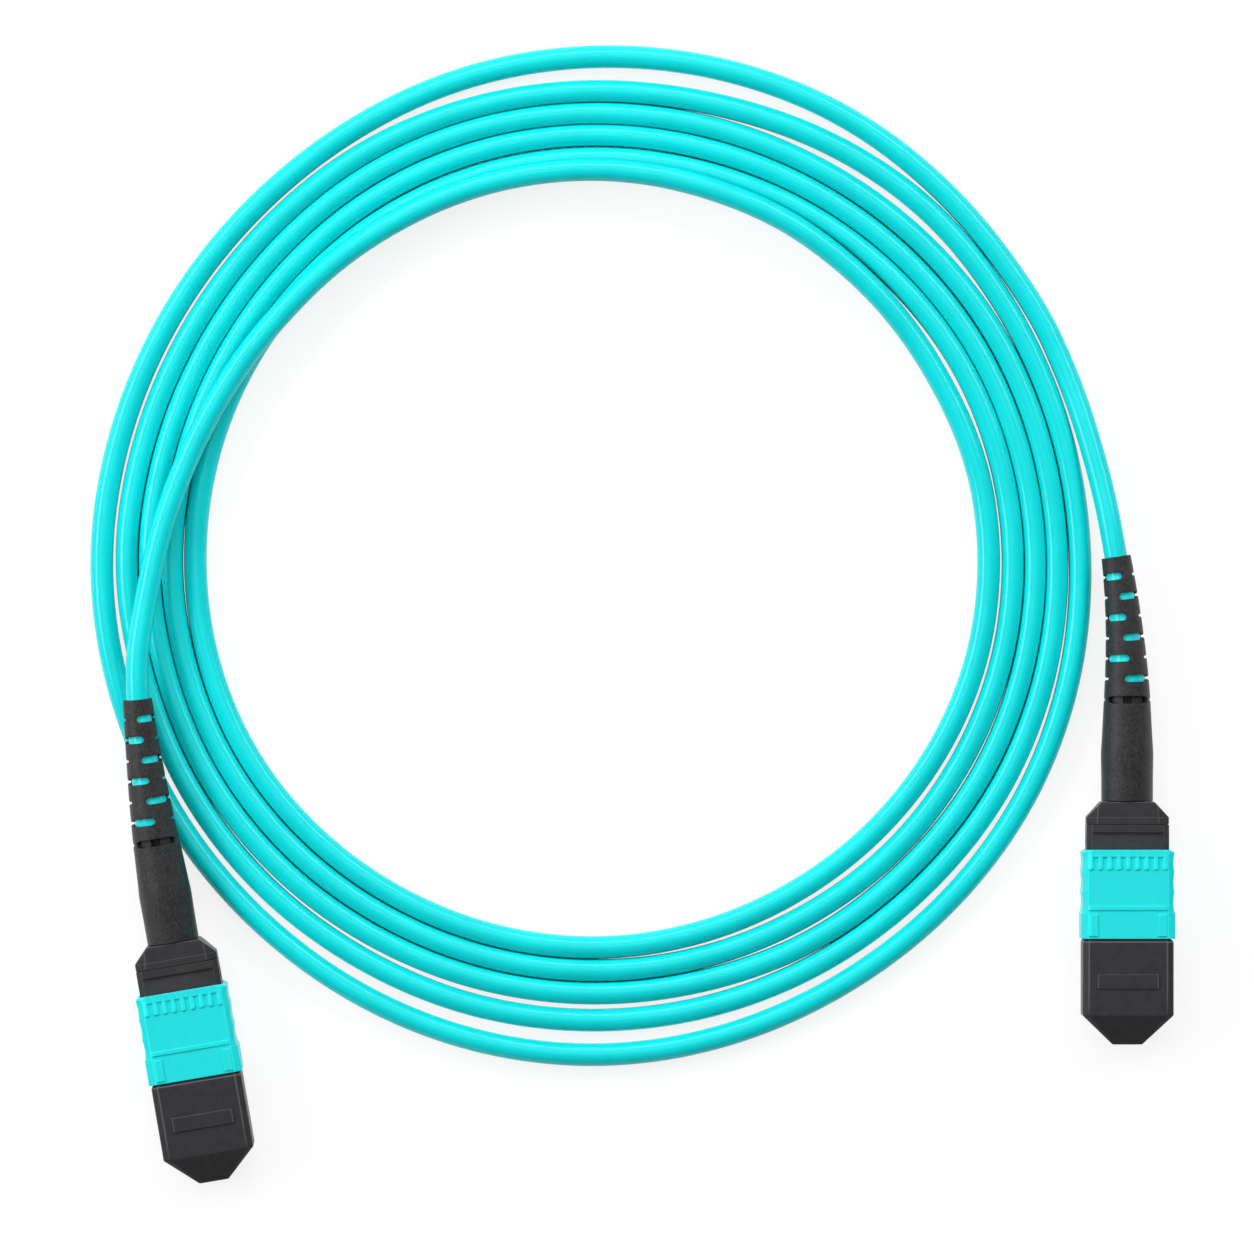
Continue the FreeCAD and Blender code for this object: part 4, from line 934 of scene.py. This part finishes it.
def drawnMetal(name, colour, roughness):
    material, tree, shader = newMaterial(name)
    drift = noise(tree, 1500, 4)
    colours = ramp(tree, drift, [(0.3, tone(colour, 0.9)), (0.7, colour)])
    gloss = spread(tree, drift, roughness - 0.07, roughness + 0.07)
    tree.links.new(colours, shader.inputs["Base Color"])
    tree.links.new(gloss, shader.inputs["Roughness"])
    shader.inputs["Metallic"].default_value = 1.0
    bump(tree, shader, drift, 0.000005)
    return material


# fine strands drawn out along the cord
def yarn(name, colour):
    material, tree, shader = newMaterial(name)
    strands = noise(tree, 5200, 2, 0.6, (1, 0.06, 1))
    colours = ramp(tree, strands, [(0.35, tone(colour, 0.6)), (0.65, tone(colour, 1.15))])
    tree.links.new(colours, shader.inputs["Base Color"])
    tree.links.new(spread(tree, strands, 0.5, 0.7), shader.inputs["Roughness"])
    bump(tree, shader, strands, 0.00004)
    return material


# name, colour, roughness, scale of the grain, then mottle, depth, gloss and painted edge highlights
finishes = {
    "cap_black": mouldedPlastic("capBlack", (0.038, 0.038, 0.041), 0.36, 7000, 0.1, edge=3.1),
    "housing_black": mouldedPlastic("housingBlack", (0.043, 0.042, 0.044), 0.36, 7000, 0.1, edge=3),
    "collar_black": mouldedPlastic("collarBlack", (0.04, 0.04, 0.043), 0.36, 7000, 0.1, edge=2.7),
    "boot_black": bootRubber("bootBlack", (0.026, 0.026, 0.028)),
    "sleeve_aqua": mouldedPlastic(
        "sleeveAqua", (0.02, 0.74, 0.755), 0.3, 6000, 0.02, 0.000006, 0.12, 1.3
    ),
    "cord_aqua": jacket("cordAqua", (0.002, 0.74, 0.76)),
    "ferrule_resin": mouldedPlastic("ferruleResin", (0.1, 0.1, 0.105), 0.4, 9000, 0.15),
    "keeper_resin": mouldedPlastic("keeperResin", (0.28, 0.28, 0.29), 0.45, 7000),
    "ferrule_boot_rubber": bootRubber("ferruleBootRubber", (0.03, 0.03, 0.03)),
    "spring_steel": drawnMetal("springSteel", (0.6, 0.61, 0.63), 0.28),
    "fibre_coating": mouldedPlastic("fibreCoating", (0.03, 0.5, 0.55), 0.35, 4000, 0.1),
    "aramid_yarn": yarn("aramidYarn", (0.75, 0.6, 0.18)),
    "crimp_metal": drawnMetal("crimpMetal", (0.72, 0.72, 0.74), 0.35),
}
# the cord seen through the boot's slots, painted lighter than the cord itself to stand in for light
# in the shaded slots
linerAquaPaintedLight = jacket("linerAquaPaintedLight", (0.01, 0.86, 0.88), paintedCreaseShade=False)


def finish(piece, slotName, material=None):
    piece.data.materials.clear()
    piece.data.materials.append(material or finishes[slotName])


plugPieces = {"near": [], "far": []}
for side in ("near", "far"):
    made = [
        (dustCap(side), f"{side}_cap", "cap_black", "dust_cap"),
        (couplingSleeve(side), f"{side}_sleeve", "sleeve_aqua", "coupling_sleeve"),
        (softened(side, "inner_housing"), "patch_cord", "housing_black", "inner_housing"),
        (softened(side, "spring_push"), "patch_cord", "collar_black", "spring_push"),
        (collarBand(side), "patch_cord", "collar_black", "spring_push"),
        (strainBoot(side), "patch_cord", "boot_black", "strain_boot"),
        (bootWebs(side), "patch_cord", "boot_black", "strain_boot"),
        (bootLiner(side), "patch_cord", "cord_aqua", "strain_boot"),
        (softened(side, "mt_ferrule"), f"{side}_ferrule", "ferrule_resin", "mt_ferrule"),
    ]
    for piece, body, slotName, node in made:
        finish(piece, slotName, linerAquaPaintedLight if piece.name.endswith("Liner") else None)
        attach(piece, body)
        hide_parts(f"{side}_{node}")
        plugPieces[side].append(piece)
    print(side, "plug dressed")

kept = {
    "guide_pin_keeper": "keeper_resin", "ferrule_boot": "ferrule_boot_rubber",
    "ferrule_spring": "spring_steel", "fibre_ribbon": "fibre_coating",
    "aramid_sleeve": "aramid_yarn", "crimp_ring": "crimp_metal",
    "coupling_spring_left": "spring_steel", "coupling_spring_right": "spring_steel",
}
for side in ("near", "far"):
    for node, slotName in kept.items():
        target = nodes[f"{side}_{node}"]
        for holder in target.material_slots:
            holder.material = finishes[slotName]
        plugPieces[side].append(target)

finish(cord, "cord_aqua")
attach(cord, "patch_cord")
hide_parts("cord_tail_near", "cord_coil", "cord_tail_far")

light = {
    "lamps": {
        "left": {"place": (-0.91, 0.28, 0.64), "size": (1.0, 0.32), "power": 8.2},
        "top": {"place": (-0.13, 0.94, 0.64), "size": (1.0, 0.32), "power": 4.2},
        "right": {"place": (0.71, 0.64, 0.64), "size": (0.8, 0.32), "power": 4.6},
        "overhead": {"place": (-0.12, 0.72, 1.65), "size": (1.6, 1.6), "power": 8.5},
    },
    "world": 0.2,
    "floorSize": 6,
    "floor": 0.8,
    "floorShade": 0.3,        # share of the floor's look that lamps and shadows make
    "floorGlow": 1.16,
    "wall": (2.9, 0.6, 96),   # radius, height, sides
}


# white where the camera or a glossy surface looks, plain elsewhere
def whiteWhenSeen(tree, plain, glow, output):
    rays = tree.nodes.new("ShaderNodeLightPath").outputs
    choose = tree.nodes.new("ShaderNodeMixShader")
    seen = rays["Is Camera Ray"]
    for kind in ("Is Glossy Ray", "Is Transmission Ray"):
        either = tree.nodes.new("ShaderNodeMath")
        either.operation = "MAXIMUM"
        tree.links.new(seen, either.inputs[0])
        tree.links.new(rays[kind], either.inputs[1])
        seen = either.outputs[0]
    tree.links.new(seen, choose.inputs["Fac"])
    tree.links.new(plain, choose.inputs[1])
    tree.links.new(glow, choose.inputs[2])
    tree.links.new(choose.outputs[0], output.inputs["Surface"])


bpy.ops.mesh.primitive_plane_add(size=light["floorSize"])
floor = bpy.context.object
floor.name = "floor"
material, tree, shader = newMaterial("paleFloor")
shader.inputs["Base Color"].default_value = (light["floor"],) * 3 + (1,)
shader.inputs["Roughness"].default_value = 0.9
glow = tree.nodes.new("ShaderNodeEmission")
glow.inputs["Strength"].default_value = light["floorGlow"]
mix = tree.nodes.new("ShaderNodeMixShader")
mix.inputs["Fac"].default_value = light["floorShade"]
tree.links.new(glow.outputs[0], mix.inputs[1])
tree.links.new(shader.outputs[0], mix.inputs[2])
whiteWhenSeen(tree, shader.outputs[0], mix.outputs[0], tree.nodes["Material Output"])
# upright ring round the floor: x = r cos a, y = r sin a
wallRadius, wallHeight, wallSides = light["wall"]
turn = np.linspace(0, 2 * math.pi, wallSides, endpoint=False)
ring = np.stack([wallRadius * np.cos(turn), wallRadius * np.sin(turn), 0 * turn], axis=-1)
rings = np.vstack([ring, ring + [0, 0, wallHeight]])
wall = meshPiece("backdrop", rings, gridFaces(2, wallSides))
for staged in (floor, wall):
    staged.data.materials.append(material)

world = bpy.data.worlds.new("studio")
world.use_nodes = True
tree = world.node_tree
tree.nodes["Background"].inputs["Strength"].default_value = light["world"]
tree.nodes["Background"].inputs["Color"].default_value = (1, 1, 1, 1)
scene.world = world

target = Vector((view["centre"][0] * mm, view["centre"][1] * mm, 0))
for name, lampSizes in light["lamps"].items():
    lampData = bpy.data.lights.new(name, "AREA")
    lampData.shape = "RECTANGLE"
    lampData.size, lampData.size_y = lampSizes["size"]
    lampData.energy = lampSizes["power"]
    lamp = bpy.data.objects.new(name, lampData)
    lamp.location = target + Vector(lampSizes["place"])
    lamp.rotation_euler = (target - lamp.location).to_track_quat("-Z", "Y").to_euler()
    scene.collection.objects.link(lamp)

scene.view_settings.view_transform = "Standard"
print("stage lit")
